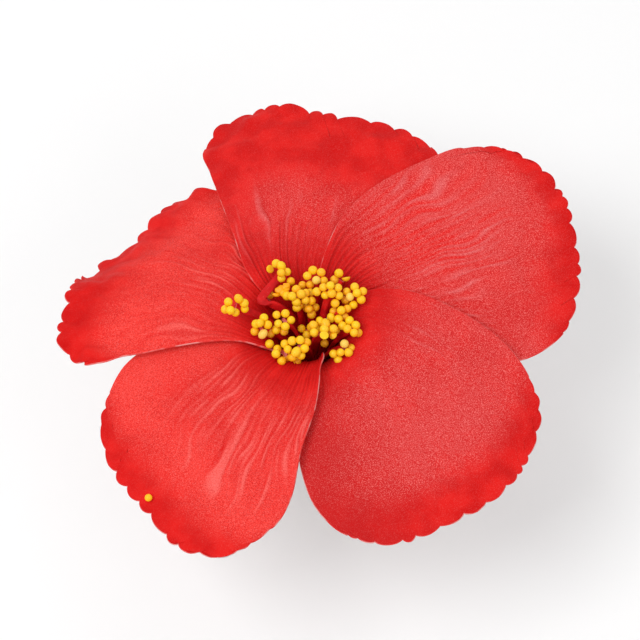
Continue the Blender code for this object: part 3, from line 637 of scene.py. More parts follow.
def swell(x, y):
    """The slow rises and dips of the whole flower."""
    radius = np.hypot(x, y)
    turn = np.degrees(np.arctan2(y, x))
    reach = np.clip((radius - SWELL_START_R) / SWELL_LENGTH, 0, SWELL_LIMIT) ** SWELL_POWER
    total = np.zeros_like(x)
    for direction, half_width, height in SWELLS:
        away = (turn - direction + 180) % 360 - 180
        total += height * np.exp(-((away / half_width) ** 2)) * reach
    return total


def petal_middle(name, along, across):
    """Points in space of a petal's smooth middle surface."""
    axis = math.radians(PETALS[name]["axis_deg"])
    x = along * math.cos(axis) - across * math.sin(axis)
    y = along * math.sin(axis) + across * math.cos(axis)
    radius = np.hypot(along, across)
    turn_deg = np.degrees(np.arctan2(across, along))
    throat = THROAT_DEPTH * np.exp(-(radius - THROAT_R) / FLARE_LENGTH)
    z = MOUTH_Z - throat - DROOP * np.maximum(radius - CREST_R, 0) ** 2 + swell(x, y)
    if name == CURL_PETAL:
        reach = np.clip((along - CURL_START) / CURL_LENGTH, 0, 1) ** 2
        z = z - CURL_DEPTH * reach * np.exp(-(((across - CURL_ACROSS) / CURL_HALF_WIDTH) ** 2))
    slope = throat / FLARE_LENGTH - 2 * DROOP * np.maximum(radius - CREST_R, 0)
    upright = 1 / np.sqrt(1 + slope * slope)
    growth = LAYER_GROWTH * np.maximum(radius - LAYER_START_R, 0)
    offset = (LAYER_STEP + growth) * turn_deg / LAYER_TURN_DEG
    inward = offset * slope * upright / radius
    return np.stack([x * (1 - inward), y * (1 - inward), z + offset * upright], -1)


def middle_normals(name, along, across):
    """Unit normals of the smooth middle surface, pointing out of the flower's mouth."""
    step = NORMAL_STEP
    outwards = petal_middle(name, along + step, across) - petal_middle(name, along - step, across)
    sideways = petal_middle(name, along, across + step) - petal_middle(name, along, across - step)
    normal = np.cross(outwards, sideways)
    return normal / np.linalg.norm(normal, axis=-1)[..., None]


# ---------------------------------------------------------------- petal relief and colouring

# Shares of a petal run from 0 at the throat to 1 at the rim (p), and from 0 at its upper side edge
# to 1 at its tucked side edge (q).
#
# How each petal was pressed. count: main ridges across it. height: their height. wander: how far
# they stray sideways, in ridge spacings. sweep: how far they bow sideways. fade: how far up the
# petal they reach (from, to). bare: the band across it without ridges. billow: height of its slow
# waves. ruffle: height of the small bumps near its rim. lobes: depth of its lobes beside the usual
# depth. mouth: how far its lip rolls into the mouth, up to roll_ends across it.
# How its face is coloured. bloom: how much painted sheen lies over it. haze: 0
# for a warm painted sheen and 1 for a greyish painted reflection. ridge: how pale its ridges are,
# partly their own colour and partly a painted highlight. groove: how red its grooves are, partly
# their own deeper red and partly painted shade. crease: how much deeper they are by the throat, in
# shape and in painted shade.
VEIN_SHAPES = ("count", "height", "wander", "sweep", "fade", "bare", "billow", "ruffle", "lobes")
VEIN_REST = ("mouth", "roll_ends", "bloom", "haze", "ridge", "groove", "crease", "seed")
ALL_ACROSS = (1.1, 1.2)
VEIN_TABLE = {
    "petal_1": (
        (14, 0.40, 0.80, 0.25, (0.42, 0.72), (0.97, 1.0), 0.45, 0.8, 1.15),
        (0.0, ALL_ACROSS, 0.55, 0.8, 0.80, 0.80, 0.6, 11),
    ),
    "petal_2": (
        (16, 0.55, 1.20, -0.55, (0.74, 0.95), (0.93, 1.0), 0.60, 0.55, 0.9),
        (0.0, ALL_ACROSS, 1.05, 0.9, 0.90, 1.35, 1.3, 27),
    ),
    "petal_3": (
        (15, 0.16, 1.05, -0.3, (0.55, 0.9), (0.35, 0.7), 0.50, 0.5, 0.8),
        (1.7, ALL_ACROSS, 0.80, 1.0, 0.50, 0.40, 0.0, 35),
    ),
    "petal_4": (
        (15, 0.50, 1.00, 0.45, (0.66, 0.92), (0.78, 0.95), 0.45, 0.5, 0.8),
        (0.9, (0.55, 0.8), 0.80, 0.1, 1.05, 0.70, 0.5, 43),
    ),
    "petal_5": (
        (14, 0.42, 0.95, -0.45, (0.60, 0.90), (0.96, 1.0), 0.75, 1.3, 1.6),
        (0.0, ALL_ACROSS, 1.05, 0.0, 0.95, 0.65, 0.2, 59),
    ),
}
RIDGE_TABLE = 64
RIDGE_HALF_WIDTH = 0.21  # in ridge spacings
RIDGE_STRENGTH = 0.65  # of the weakest ridge
RIDGE_ONSET = 0.14
RIDGE_FADE = 0.22
BREAKS_ALONG = 11.0  # how many times a ridge swells and sinks along the petal
BREAKS = (0.78, 0.6, 0.2, 1.1)  # mean, swing, least and most
BREAK_STEP = 3.7  # apart in the noise between one ridge and the next
BREAK_START = 40
BREAK_SEED = 50
MAIN_START = (0.02, 0.12)
FORK_START = (0.12, 0.34)
FORK_SHIFT = 0.5  # forks run midway between the main ridges
FORK_STRAY = 0.2
FORK_HEIGHT = 0.85
GROOVE_HALF_WIDTH = 0.15
GROOVE_SHIFT = 0.25  # grooves run between a ridge and its fork
GROOVE_START = (0.0, 0.08)
GROOVE_DEPTH = 0.5
GROOVE_LIMIT = 1.1
CREASE_FROM = (0.42, 0.68)  # creases fade between these shares of p
CREASE_SIDE = (0.42, 0.62)  # and of q
STRAY_FROM = (0.05, 0.5)
FINE_STRAY = 0.5
RELIEF_PATCHES = (0.85, 0.4, 0.3, 1.2)
RELIEF_LIMIT = 1.2
SIDE_MARGIN = 0.03
BARE_MARGINS = (0.06, 0.02, 0.1, 0.08)
RUFFLE_FROM = (0.62, 0.95)
RUFFLE_SIZE = 4.2
BILLOW_FROM = (0.25, 0.6)
BILLOW_SIZE = (15.0, 12.0)
BILLOW_SIDES = (0.0, 0.08, 0.82, 0.96)
ROLL_FROM = (6.2, 9.0)  # in radii, like the next
ROLL_TO = (11.0, 18.0)
# Where the painted sheen lies along each petal, and how patchy it is.
PAINTED_SHEEN_FROM = (0.14, 0.50)
PAINTED_SHEEN_BEFORE_FADE = 0.22
PAINTED_SHEEN_PAST_FADE = 0.04
PAINTED_SHEEN_PATCHES = (0.8, 0.55, 0.15, 1.3)
PALE_RIDGES_FROM = (0.12, 0.45)
PALE_RIDGES_LEAST = 0.2
SHADED_PETAL = "petal_3"  # painted shade makes it a darker, plainer red towards its tucked side
SHADED_SIDE = (0.55, 0.95)
SHADED_FROM = (0.2, 0.5)
SHADED_SHEEN_LOSS = 0.7
LIP_PETAL = "petal_4"  # its side edge turns up where it leaves the throat
LIP_RISE = 2.2
LIP_WIDTH = 0.055
LIP_FROM = (7.5, 11.5)
LIP_TO = (15.0, 24.0)
LIP_SPREAD = 1.8  # and it spreads sideways over its neighbour
LIP_SPREAD_WIDTH = 0.12
LIP_SPREAD_FROM = (6.5, 9.0)
LIP_SPREAD_TO = (11.0, 16.0)
SHEEN = 0.9  # painted sheen: it is palest along its tucked side
SHEEN_SIDE = (0.72, 0.95)
SHEEN_FROM = (0.12, 0.3)
SHEEN_TO = (0.55, 0.85)


def patchy(u, v, seed, mean, swing, least, most):
    return np.clip(mean + swing * lattice_noise(u, v, seed), least, most)


def between(value, low, high):
    """1 from the end of the low range to the start of the high one, and 0 beyond them."""
    return smooth_step(value, *low) * (1 - smooth_step(value, *high))


def ridges(phase, p, seed, start, end, half_width=RIDGE_HALF_WIDTH):
    """Soft ridges centred on whole phases, each with its own strength, start and end."""
    table = np.random.default_rng(seed).uniform(0, 1, (3, RIDGE_TABLE))
    near = np.rint(phase)
    index = near.astype(int) % RIDGE_TABLE
    strength = RIDGE_STRENGTH + (1 - RIDGE_STRENGTH) * table[0][index]
    begin = start[0] + (start[1] - start[0]) * table[1][index]
    finish = end[0] + (end[1] - end[0]) * table[2][index]
    profile = np.exp(-(((phase - near) / half_width) ** 2))
    breaks = patchy(p * BREAKS_ALONG, near * BREAK_STEP + BREAK_START, seed + BREAK_SEED, *BREAKS)
    reach = between(p, (begin, begin + RIDGE_ONSET), (finish - RIDGE_FADE, finish))
    return profile * strength * breaks * reach


def veined_share(bare, q):
    """1 where the petal has ridges and 0 in its bare band."""
    start, end = bare
    before, after, wide_before, wide_after = BARE_MARGINS
    if end >= 1.0:
        return 1 - smooth_step(q, start - before, start + after)
    return 1 - between(q, (start - wide_before, start), (end, end + wide_after))


def vein_relief(veins, p, q):
    """Ridges, and the grooves between them, that fan out from the throat, curve, fork and fade."""
    seed = veins["seed"]
    fade = veins["fade"]
    bend = veins["sweep"] * np.sin(math.pi * p) * np.cos(math.pi * (q - 0.5))
    drift = lattice_noise(p * 2.3, q * 3.0, seed) + FINE_STRAY * lattice_noise(p * 8.0, q * 8.0, seed + 1)
    phase = veins["count"] * q + bend * 2 + veins["wander"] * drift * smooth_step(p, *STRAY_FROM)
    stray = FORK_STRAY * lattice_noise(p * 4, q * 5, seed + 3)
    main = ridges(phase, p, seed + 2, MAIN_START, fade)
    forks = ridges(phase + FORK_SHIFT + stray, p, seed + 4, FORK_START, fade)
    patches = patchy(p * 3.0, q * 3.5, seed + 5, *RELIEF_PATCHES)
    shown = veined_share(veins["bare"], q) * patches * smooth_step(q, 0.0, SIDE_MARGIN)
    left = ridges(phase + GROOVE_SHIFT, p, seed + 6, GROOVE_START, fade, GROOVE_HALF_WIDTH)
    right = ridges(phase - GROOVE_SHIFT, p, seed + 7, GROOVE_START, fade, GROOVE_HALF_WIDTH)
    # By the throat the grooves are cut deeper and darkened more with painted shade.
    creased = (1 - smooth_step(p, *CREASE_FROM)) * (1 - smooth_step(q, *CREASE_SIDE))
    groove = (left + right) * shown * (1 + veins["crease"] * creased)
    return np.clip((main + FORK_HEIGHT * forks) * shown, 0, RELIEF_LIMIT), groove


def petal_lift(name, veins, relief, groove, radius, q, ruffle, billow):
    """How far the face stands off the smooth middle surface."""
    lift = veins["height"] * (relief - GROOVE_DEPTH * groove) + veins["ruffle"] * ruffle
    low, low_end, high, high_end = BILLOW_SIDES
    held = (1 - smooth_step(q, high, high_end)) * smooth_step(q, low, low_end)
    lift = lift + veins["billow"] * billow * held
    rolled = between(radius, ROLL_FROM, ROLL_TO)
    lift = lift + veins["mouth"] * rolled * (1 - smooth_step(q, *veins["roll_ends"]))
    if name == LIP_PETAL:
        lift = lift + LIP_RISE * between(radius, LIP_FROM, LIP_TO) * np.exp(-((q / LIP_WIDTH) ** 2))
    return lift


def petal_marks(name, veins, relief, groove, p, q):
    """The values that the petal's materials read from its points."""
    end = veins["fade"][1]
    # Painted sheen over the petal's middle, in patches.
    spread = between(p, PAINTED_SHEEN_FROM, (end - PAINTED_SHEEN_BEFORE_FADE, end + PAINTED_SHEEN_PAST_FADE))
    bloom = veins["bloom"] * spread * patchy(p * 2.2, q * 2.6, veins["seed"] + 8, *PAINTED_SHEEN_PATCHES)
    shade = np.zeros_like(p)
    # petal_4 gets extra painted sheen along its tucked side.
    if name == LIP_PETAL:
        bloom = bloom + SHEEN * smooth_step(q, *SHEEN_SIDE) * between(p, SHEEN_FROM, SHEEN_TO)
    # petal_3 takes painted shade towards its tucked side, which also weakens its painted sheen.
    if name == SHADED_PETAL:
        shade = smooth_step(q, *SHADED_SIDE) * smooth_step(p, *SHADED_FROM)
    paler = PALE_RIDGES_LEAST + (1 - PALE_RIDGES_LEAST) * smooth_step(p, *PALE_RIDGES_FROM)
    return {
        "relief": relief * veins["ridge"] * paler,
        "groove": np.clip(groove * veins["groove"], 0, GROOVE_LIMIT),
        "bloom": bloom * (1 - SHADED_SHEEN_LOSS * shade),
        "haze": np.full_like(p, veins["haze"]),
        "shade": shade,
    }


def petal_form(name, veins, plan):
    """A petal's smooth middle surface, its normals, its lift and its marks, on the petal's grid."""
    p = np.linspace(0, 1, PETAL_ROWS)[:, None] ** ROW_CROWDING + np.zeros((1, PETAL_COLUMNS))
    q = np.linspace(0, 1, PETAL_COLUMNS)[None, :] + np.zeros((PETAL_ROWS, 1))
    along, across = plan[..., 0], plan[..., 1]
    radius = np.hypot(along, across)
    if name == LIP_PETAL:
        near_lip = between(radius, LIP_SPREAD_FROM, LIP_SPREAD_TO)
        across = across + LIP_SPREAD * near_lip * np.exp(-((q / LIP_SPREAD_WIDTH) ** 2))
    middle = petal_middle(name, along, across)
    normal = middle_normals(name, along, across)
    relief, groove = vein_relief(veins, p, q)
    seed = veins["seed"]
    ruffle = lattice_noise(along / RUFFLE_SIZE, across / RUFFLE_SIZE, seed + 6) * smooth_step(p, *RUFFLE_FROM)
    billow = lattice_noise(along / BILLOW_SIZE[0], across / BILLOW_SIZE[1], seed + 7)
    billow = billow * smooth_step(p, *BILLOW_FROM)
    lift = petal_lift(name, veins, relief, groove, radius, q, ruffle, billow)
    return middle, normal, lift, petal_marks(name, veins, relief, groove, p, q), p, q


TOP_SLOT = 0
EDGE_SLOT = 1
BACK_SLOT = 2
HALF_THICKNESS = 0.45
RIM_HALF_THICKNESS = 0.28
RIM_THINNING = 0.05  # the foam thins over this share of its width and length
EDGE_BULGE = 0.16
# Radii over which the throat mark fades: painted shade on the face and cut edge, a darker red on the back.
DARK_THROAT = (7.5, 14.5)


def border_loop(rows, columns):
    """Grid indices once round the outline."""
    top = [(0, c) for c in range(columns)]
    right = [(r, columns - 1) for r in range(1, rows)]
    bottom = [(rows - 1, c) for c in range(columns - 2, -1, -1)]
    left = [(r, 0) for r in range(rows - 2, 0, -1)]
    return np.array([r * columns + c for r, c in top + right + bottom + left])


def edge_outwards(centre, normal, middle):
    """Unit directions out of the petal, all round its cut edge."""
    tangent = np.roll(centre, -1, axis=0) - np.roll(centre, 1, axis=0)
    outward = np.cross(tangent, normal)
    outward /= np.maximum(np.linalg.norm(outward, axis=1), 1e-9)[:, None]
    away = centre - middle
    return outward * np.sign((outward * away).sum(1).mean())


def make_petal(name, materials):
    """A pressed foam petal: face, back and a rounded cut edge."""
    veins = dict(zip(VEIN_SHAPES + VEIN_REST, VEIN_TABLE[name][0] + VEIN_TABLE[name][1]))
    plan = petal_plan(name, veins)
    middle, normal, lift, marks, p, q = petal_form(name, veins, plan)
    rows, columns = p.shape
    edge = np.minimum(np.minimum(q, 1 - q), 1 - p)
    thickening = smooth_step(edge, 0.0, RIM_THINNING)
    half = RIM_HALF_THICKNESS + (HALF_THICKNESS - RIM_HALF_THICKNESS) * thickening
    top = middle + normal * (lift + half)[..., None]
    back = middle + normal * (lift - half)[..., None]
    loop = border_loop(rows, columns)
    centre = (middle + normal * lift[..., None]).reshape(-1, 3)[loop]
    outward = edge_outwards(centre, normal.reshape(-1, 3)[loop], middle.reshape(-1, 3).mean(0))
    points = np.concatenate([top.reshape(-1, 3), back.reshape(-1, 3), centre + outward * EDGE_BULGE])
    faces = []
    slots = []
    offset = rows * columns
    for r in range(rows - 1):
        for a in range(r * columns, (r + 1) * columns - 1):
            b = a + columns
            faces.append((a, b, b + 1, a + 1))
            faces.append((a + offset, a + 1 + offset, b + 1 + offset, b + offset))
            slots += [TOP_SLOT, BACK_SLOT]
    ring = 2 * offset
    loop_list = loop.tolist()
    for k, here in enumerate(loop_list):
        n = (k + 1) % len(loop_list)
        there = loop_list[n]
        faces.append((here, there, ring + n, ring + k))
        faces.append((ring + k, ring + n, there + offset, here + offset))
        slots += [EDGE_SLOT, EDGE_SLOT]
    piece = add_piece(f"foam_{name}", points, faces, materials, slots)
    # The throat mark: painted shade deep in the throat on the face and cut edge.
    marks["throat"] = 1 - smooth_step(np.hypot(plan[..., 0], plan[..., 1]), *DARK_THROAT)
    for label, values in marks.items():
        flat = values.reshape(-1)
        layer = piece.data.attributes.new(label, "FLOAT", "POINT")
        layer.data.foreach_set("value", np.concatenate([flat, flat, flat[loop]]).astype(np.float32))
    make_outward(piece)
    place_piece(piece, name)


# ---------------------------------------------------------------- stamens

STRIP_STATIONS = 48
STRIP_WIDTH = 1.85
STRIP_ROOT_WIDTH = 1.45
STRIP_WIDENING = 2.0  # it is at full width halfway up
STRIP_THICKNESS = 0.85
STRIP_ROUND = 0.22
STRIP_END = 0.985
STRIP_TWIST = (0.18, 3.1)  # height and rate of its slow twist
STRIP_WAVE = (0.05, 23, 2)  # height, rate and step between strips of the waves in its width
SHARP_EDGE = math.radians(50)
SECTION_CORNERS = ((1, 1, 0), (-1, 1, 90), (-1, -1, 180), (1, -1, 270))
ELBOW_CONTROL = (0.12, 0.97)  # the lower leg's middle control point: shares outwards and upwards
ELBOW_SMOOTHING = (1.0, 2.0, 3.0, 2.0, 1.0)
ELBOW_TURN = 0.16  # over this share of the strip it turns its flat side to the front


def stamen_path(index):
    """Centre line of a stamen from its root to its tip, as a cubic curve."""
    tip_x, tip_y, tip_rise, ring, root_turn = STAMENS[index]
    turn = math.radians(root_turn)
    root_r = STAMEN_ROOT_R[ring]
    root = Vector((root_r * math.cos(turn), root_r * math.sin(turn), STAMEN_ROOT_Z))
    tip = Vector((tip_x, tip_y, MOUTH_Z + tip_rise))
    height = tip.z - root.z
    flat = Vector((tip.x - root.x, tip.y - root.y, 0))
    first = root + flat * STAMEN_LEAN[ring] + Vector((0, 0, height * STAMEN_START_RISE))
    second = tip - flat * STAMEN_TIP_SPREAD - Vector((0, 0, height * STAMEN_TIP_RISE))
    return root, first, second, tip


def bezier(root, first, second, tip, t):
    s = 1 - t
    return root * s**3 + first * (3 * s * s * t) + second * (3 * s * t * t) + tip * t**3


def strip_centres(index):
    """Points along a strip. The bent one runs up to its elbow, folds and goes straight to its tip."""
    path = stamen_path(index)
    shares = np.linspace(0, STRIP_END, STRIP_STATIONS)
    if index != BENT_STAMEN:
        return [bezier(*path, t) for t in shares]
    root, tip = path[0], path[-1]
    elbow = Vector((BENT_ELBOW[0], BENT_ELBOW[1], MOUTH_Z + BENT_ELBOW[2]))
    leg = elbow - root
    outwards, upwards = ELBOW_CONTROL
    control = root + Vector((leg.x * outwards, leg.y * outwards, leg.z * upwards))
    centres = []
    for t in shares:
        if t < BENT_ELBOW_SHARE:
            u = t / BENT_ELBOW_SHARE
            centres.append(root * (1 - u) ** 2 + control * (2 * u * (1 - u)) + elbow * u**2)
        else:
            centres.append(elbow.lerp(tip, (t - BENT_ELBOW_SHARE) / (1 - BENT_ELBOW_SHARE)))
    weights = np.array(ELBOW_SMOOTHING) / sum(ELBOW_SMOOTHING)
    margin = len(weights) // 2
    points = np.array([tuple(centre) for centre in centres])
    smoothed = points.copy()
    for k in range(margin, len(points) - margin):
        smoothed[k] = weights @ points[k - margin : k + margin + 1]
    return [Vector(point) for point in smoothed]


def strip_section(width, thickness, rounding):
    """A rectangle with rounded corners, as (across, through) points."""
    points = []
    for cx, cy, start in SECTION_CORNERS:
        for step in range(3):
            turn = math.radians(start + 45 * step)
            x = cx * (width / 2 - rounding) + rounding * math.cos(turn)
            y = cy * (thickness / 2 - rounding) + rounding * math.sin(turn)
            points.append((x, y))
    return points


def add_bar(name, points, stations, materials, capped=False):
    """Links a closed bar of rounded rectangles; capped gives its ends the second material."""
    sides = len(points) // stations
    faces = tube_faces(0, stations, sides)
    slots = [0] * (len(faces) - 2) + [1, 1] if capped else None
    piece = add_piece(name, points, faces, materials, slots)
    piece.data.set_sharp_from_angle(angle=SHARP_EDGE)
    make_outward(piece)
    return piece


def make_strip(index, materials):
    """A stamen's flat foam strip, from the glue core into the middle of its beads."""
    centres = strip_centres(index)
    turn = math.radians(STAMENS[index][4])
    root_side = Vector((math.cos(turn), math.sin(turn), 0))
    wave, wave_rate, wave_step = STRIP_WAVE
    points = []
    for k, at in enumerate(centres):
        t = STRIP_END * k / (STRIP_STATIONS - 1)
        along = (centres[min(k + 1, STRIP_STATIONS - 1)] - centres[max(k - 1, 0)]).normalized()
        facing = root_side
        if index == BENT_STAMEN:
            turned = float(smooth_step(t, BENT_ELBOW_SHARE - ELBOW_TURN, BENT_ELBOW_SHARE))
            facing = root_side.lerp(VIEW_OUT, turned)
        across = along.cross(facing).normalized()
        normal = across.cross(along).normalized()
        twist = STRIP_TWIST[0] * math.sin(STRIP_TWIST[1] * t + index)
        across, normal = (
            across * math.cos(twist) + normal * math.sin(twist),
            normal * math.cos(twist) - across * math.sin(twist),
        )
        width = STRIP_ROOT_WIDTH + (STRIP_WIDTH - STRIP_ROOT_WIDTH) * min(1.0, STRIP_WIDENING * t)
        width *= 1 + wave * math.sin(wave_rate * t + wave_step * index)
        for a, b in strip_section(width, STRIP_THICKNESS, STRIP_ROUND):
            points.append(tuple(at + across * a + normal * b))
    piece = add_bar(f"foam_strip_{index + 1:02d}", points, STRIP_STATIONS, materials, capped=True)
    place_piece(piece, f"stamen_{index + 1:02d}")


# ---------------------------------------------------------------- beads

# Beads of each clump, seen square-on from the tilted front: (right, up) from the stamen's tip in
# millimetres. A third value says what is odd about a bead: p pale, l long, c chipped, b further back.
CLUMP_BEADS = (
    ((-1.4, 1.0), (-2.1, -0.7), (-0.9, -0.9), (0.2, -1.4), (1.0, 1.7, "l"), (2.2, 0.7), (2.3, -0.6)),
    ((-1.2, 2.4), (0.0, 1.8, "l"), (-2.5, 1.2, "c"), (0.0, 0.2), (1.3, 0.5), (0.0, -1.0), (2.2, -1.7),
     (-2.6, -4.8, "b")),
    ((-2.2, 0.2), (0.0, 1.7), (-1.0, 0.1), (0.0, -1.2), (1.1, 0.6), (2.2, 0.9), (3.2, 1.0), (0.1, -2.5),
     (0.8, -2.0, "b"), (2.1, -0.8), (3.5, -0.9), (2.9, -2.8, "b")),
    ((-0.7, 2.0), (1.2, 1.5), (-2.0, 0.7), (0.1, -0.3, "p"), (1.8, -0.4), (-1.3, -1.3, "b"),
     (-3.1, -1.4, "b")),
    ((-3.0, -0.6), (-1.5, 0.4), (0.1, 0.8), (-1.1, -1.4), (0.4, -1.0), (1.9, 0.3), (2.1, -1.5)),
    ((-0.4, 1.4), (1.2, 0.5, "c"), (-1.4, -0.1, "b")),
    ((-1.1, 1.6), (0.3, 0.0), (1.7, 0.4, "b"), (-1.4, -0.3, "b"), (-2.0, -1.7, "l"), (-0.3, -2.0),
     (1.1, -1.5, "b")),
    ((-0.5, 2.2), (-2.3, 1.1), (0.0, 0.8), (1.4, 1.2), (-1.6, -0.1, "p"), (1.0, -0.7), (-0.8, -1.9),
     (-2.5, -0.8, "b")),
    ((-0.8, 1.9), (-2.4, 0.7), (-1.3, 0.0), (0.6, 0.8), (0.2, -0.9), (1.2, -0.9, "b"), (-3.9, -0.3, "b")),
    ((0.3, 1.3, "p"), (-0.6, -0.7), (1.2, -0.7), (-2.2, -1.0), (-1.1, -2.4), (1.8, 0.3, "b")),
    ((-1.8, 2.0), (-1.6, 0.3), (-0.2, 2.8, "l"), (1.0, 2.3, "l"), (0.7, 1.1), (0.7, -0.2, "c"), (2.8, 1.2),
     (2.8, -0.4, "c"), (2.1, 0.6, "b")),
    ((-2.0, 1.3), (-0.2, 1.5), (-3.0, -0.6), (-1.1, -1.2, "l"), (0.8, -0.4), (0.0, -2.0), (1.3, 1.0, "b"),
     (-3.7, 0.6), (-1.9, -2.4, "b")),
    ((-1.3, 1.0), (-1.6, -0.1), (-0.3, -1.7), (2.0, -0.9), (3.2, -1.9, "b"), (0.9, -0.9, "b")),
    ((-1.7, 1.3), (0.3, 1.6), (1.6, 0.1), (-1.3, -0.7), (-1.8, -2.1), (0.3, -1.4), (0.0, -2.5, "b")),
    ((0.9, 2.1), (-0.9, 0.7), (0.0, 0.9), (1.8, 0.5), (-1.2, -1.0, "b"), (0.7, -1.6, "pl"), (2.4, -1.5, "b"),
     (2.2, -3.9)),
    ((-1.0, 0.4), (0.9, 0.6), (0.0, -1.0)),
    ((-1.6, 0.5), (0.6, 0.8), (1.9, 0.2), (3.7, -2.9), (-0.4, -0.9)),
)
CLUMP_DOME_R = 2.8
CLUMP_DOME_HEIGHT = 1.2
BACK_DROP = 1.1
BEAD_SIZE_SPREAD = 0.06
BEAD_TOUCH = 0.93
PACKING_ROUNDS = 60
PACKING_STEP = 0.25
BEAD_SEED = 7
BEAD_SEGMENTS = 20
BEAD_RINGS = 12
BEAD_WARMTH = 0.8  # the warmest of the beads in front; those further back are at 1, which is painted shade
BEAD_UNROUND = 0.04
LONG_STRETCH = 0.30
PALE_BEAD = 0.9
BEAD_PALENESS = 0.12
CHIP_DEPTH = 0.15  # from the bead's middle, in radii
CHIP_FLATNESS = 0.85
SMEAR_CLUMP = 2  # yellow glue ran down beside this clump
SMEAR_LUMPS = (  # (right, up, out) from the stamen's tip, then the three half-widths
    (-3.5, 1.5, -0.6, 1.5, 1.0, 0.5),
    (-2.7, 0.7, -0.4, 1.2, 1.1, 0.5),
    (-4.6, 0.5, -0.9, 1.1, 0.45, 0.35),
    (-2.4, 2.3, -0.3, 1.0, 0.9, 0.5),
)
LUMP_ROUGHNESS = 0.22
LUMP_GRAIN = 1.7
LUMP_START = 9
LUMP_SUBDIVISIONS = 4
DAB_SUBDIVISIONS = 3


def packed(places, radii):
    """Moves beads along the view's depth until none sinks into another."""
    out = np.array(VIEW_OUT)
    touch = (radii[:, None] + radii[None, :]) * BEAD_TOUCH
    never = 10 * np.eye(len(places))
    for _ in range(PACKING_ROUNDS):
        gap = places[:, None] - places[None, :]
        distance = np.linalg.norm(gap, axis=-1) + never
        depth = gap @ out
        flat = np.sqrt(np.maximum(distance**2 - depth**2, 0))
        needed = np.sqrt(np.maximum(touch**2 - flat**2, 0))
        lack = np.where(distance < touch, needed - np.abs(depth), 0.0)
        sign = np.where(depth >= 0, 1.0, -1.0)
        places = places + PACKING_STEP * np.clip((lack * sign).sum(1), -1.0, 1.0)[:, None] * out
    return places


def bead_layout():
    """Every clump's beads as (clump, place, radius, kind), packed so that they only touch."""
    random = np.random.default_rng(BEAD_SEED)
    beads = []
    for clump, clump_beads in enumerate(CLUMP_BEADS):
        tip = stamen_path(clump)[3]
        for right, up, *kind in clump_beads:
            kind = "".join(kind)
            reach = min(1.0, math.hypot(right, up) / CLUMP_DOME_R)
            out = CLUMP_DOME_HEIGHT * math.sqrt(1 - reach * reach) - (BACK_DROP if "b" in kind else 0.0)
            radius = BEAD_R * (1.0 + BEAD_SIZE_SPREAD * random.uniform(-1, 1))
            beads.append((clump, tuple(seen_from(tip, right, up, out)), radius, kind))
    owners, places, radii, kinds = zip(*beads)
    return list(zip(owners, packed(np.array(places), np.array(radii)), radii, kinds))


def colour_layers(form):
    return [form.verts.layers.float.new(name) for name in ("warmth", "paleness")]


def add_bead(form, layers, place, radius, kind, random):
    """One bead, slightly out of round; a long one is drawn out, a chipped one has a flat broken face."""
    made = bmesh.ops.create_uvsphere(form, u_segments=BEAD_SEGMENTS, v_segments=BEAD_RINGS, radius=radius)
    axis = Vector(random.normal(size=3)).normalized()
    cut = Vector(random.normal(size=3)).normalized()
    warmth = float(random.uniform(0.0, BEAD_WARMTH))
    stretch = LONG_STRETCH if "l" in kind else BEAD_UNROUND * float(random.uniform(-1, 1))
    paleness = PALE_BEAD if "p" in kind else BEAD_PALENESS * float(random.uniform(0, 1))
    # Beads further back get the full orange cast: painted shade.
    if "b" in kind:
        warmth = 1.0
    for vert in made["verts"]:
        co = vert.co.copy()
        co += axis * (co.dot(axis) * stretch)
        beyond = co.dot(cut) + CHIP_DEPTH * radius
        if "c" in kind and beyond > 0:
            co -= cut * (beyond * CHIP_FLATNESS)
        vert.co = co + Vector(place)
        vert[layers[0]] = warmth
        vert[layers[1]] = paleness


def add_blob(form, subdivisions, origin, blob, slot, rough_seed=None):
    """A flattened ball of glue, uneven where it has a seed; blob is (right, up, out, three half-widths)."""
    centre = seen_from(origin, *blob[:3])
    made = bmesh.ops.create_icosphere(form, subdivisions=subdivisions, radius=1.0)
    for vert in made["verts"]:
        co = vert.co.copy()
        if rough_seed is not None:
            u = np.array([co.x * LUMP_GRAIN + LUMP_START])
            v = np.array([co.y * LUMP_GRAIN + co.z + LUMP_START])
            co *= 1 + LUMP_ROUGHNESS * lattice_noise(u, v, rough_seed)[0]
        vert.co = seen_from(centre, co.x * blob[3], co.y * blob[4], co.z * blob[5])
    for face in {face for vert in made["verts"] for face in vert.link_faces}:
        face.material_index = slot
        face.smooth = True
    return made["verts"]


def finish_form(name, form, materials):
    """Turns a bmesh in millimetres into a named object."""
    bmesh.ops.scale(form, vec=(MM, MM, MM), verts=form.verts)
    mesh = bpy.data.meshes.new(name)
    form.to_mesh(mesh)
    form.free()
    for material in materials:
        mesh.materials.append(material)
    mesh.shade_smooth()
    return link_object(name, mesh)


def make_clumps(material, smear):
    """The bead clump on each stamen's tip."""
    random = np.random.default_rng(BEAD_SEED + 1)
    layout = bead_layout()
    for clump in range(len(STAMENS)):
        form = bmesh.new()
        layers = colour_layers(form)
        for owner, place, radius, kind in layout:
            if owner == clump:
                add_bead(form, layers, place, radius, kind, random)
        if clump == SMEAR_CLUMP:
            for number, lump in enumerate(SMEAR_LUMPS):
                verts = add_blob(form, LUMP_SUBDIVISIONS, stamen_path(clump)[3], lump, 1, BEAD_SEED + number)
                for vert in verts:
                    vert[layers[0]] = 1.0
        piece = finish_form(f"bead_clump_{clump + 1:02d}", form, [material, smear])
        place_piece(piece, f"beads_{clump + 1:02d}")


def make_stray_bead(material):
    """The loose bead stuck to the lower left petal."""
    low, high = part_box("stray_bead")
    place = [(a + b) / 2 / MM for a, b in zip(low, high)]
    form = bmesh.new()
    random = np.random.default_rng(BEAD_SEED + 2)
    add_bead(form, colour_layers(form), place, STRAY_BEAD_R, "", random)
    place_piece(finish_form("loose_bead", form, [material]), "stray_bead")


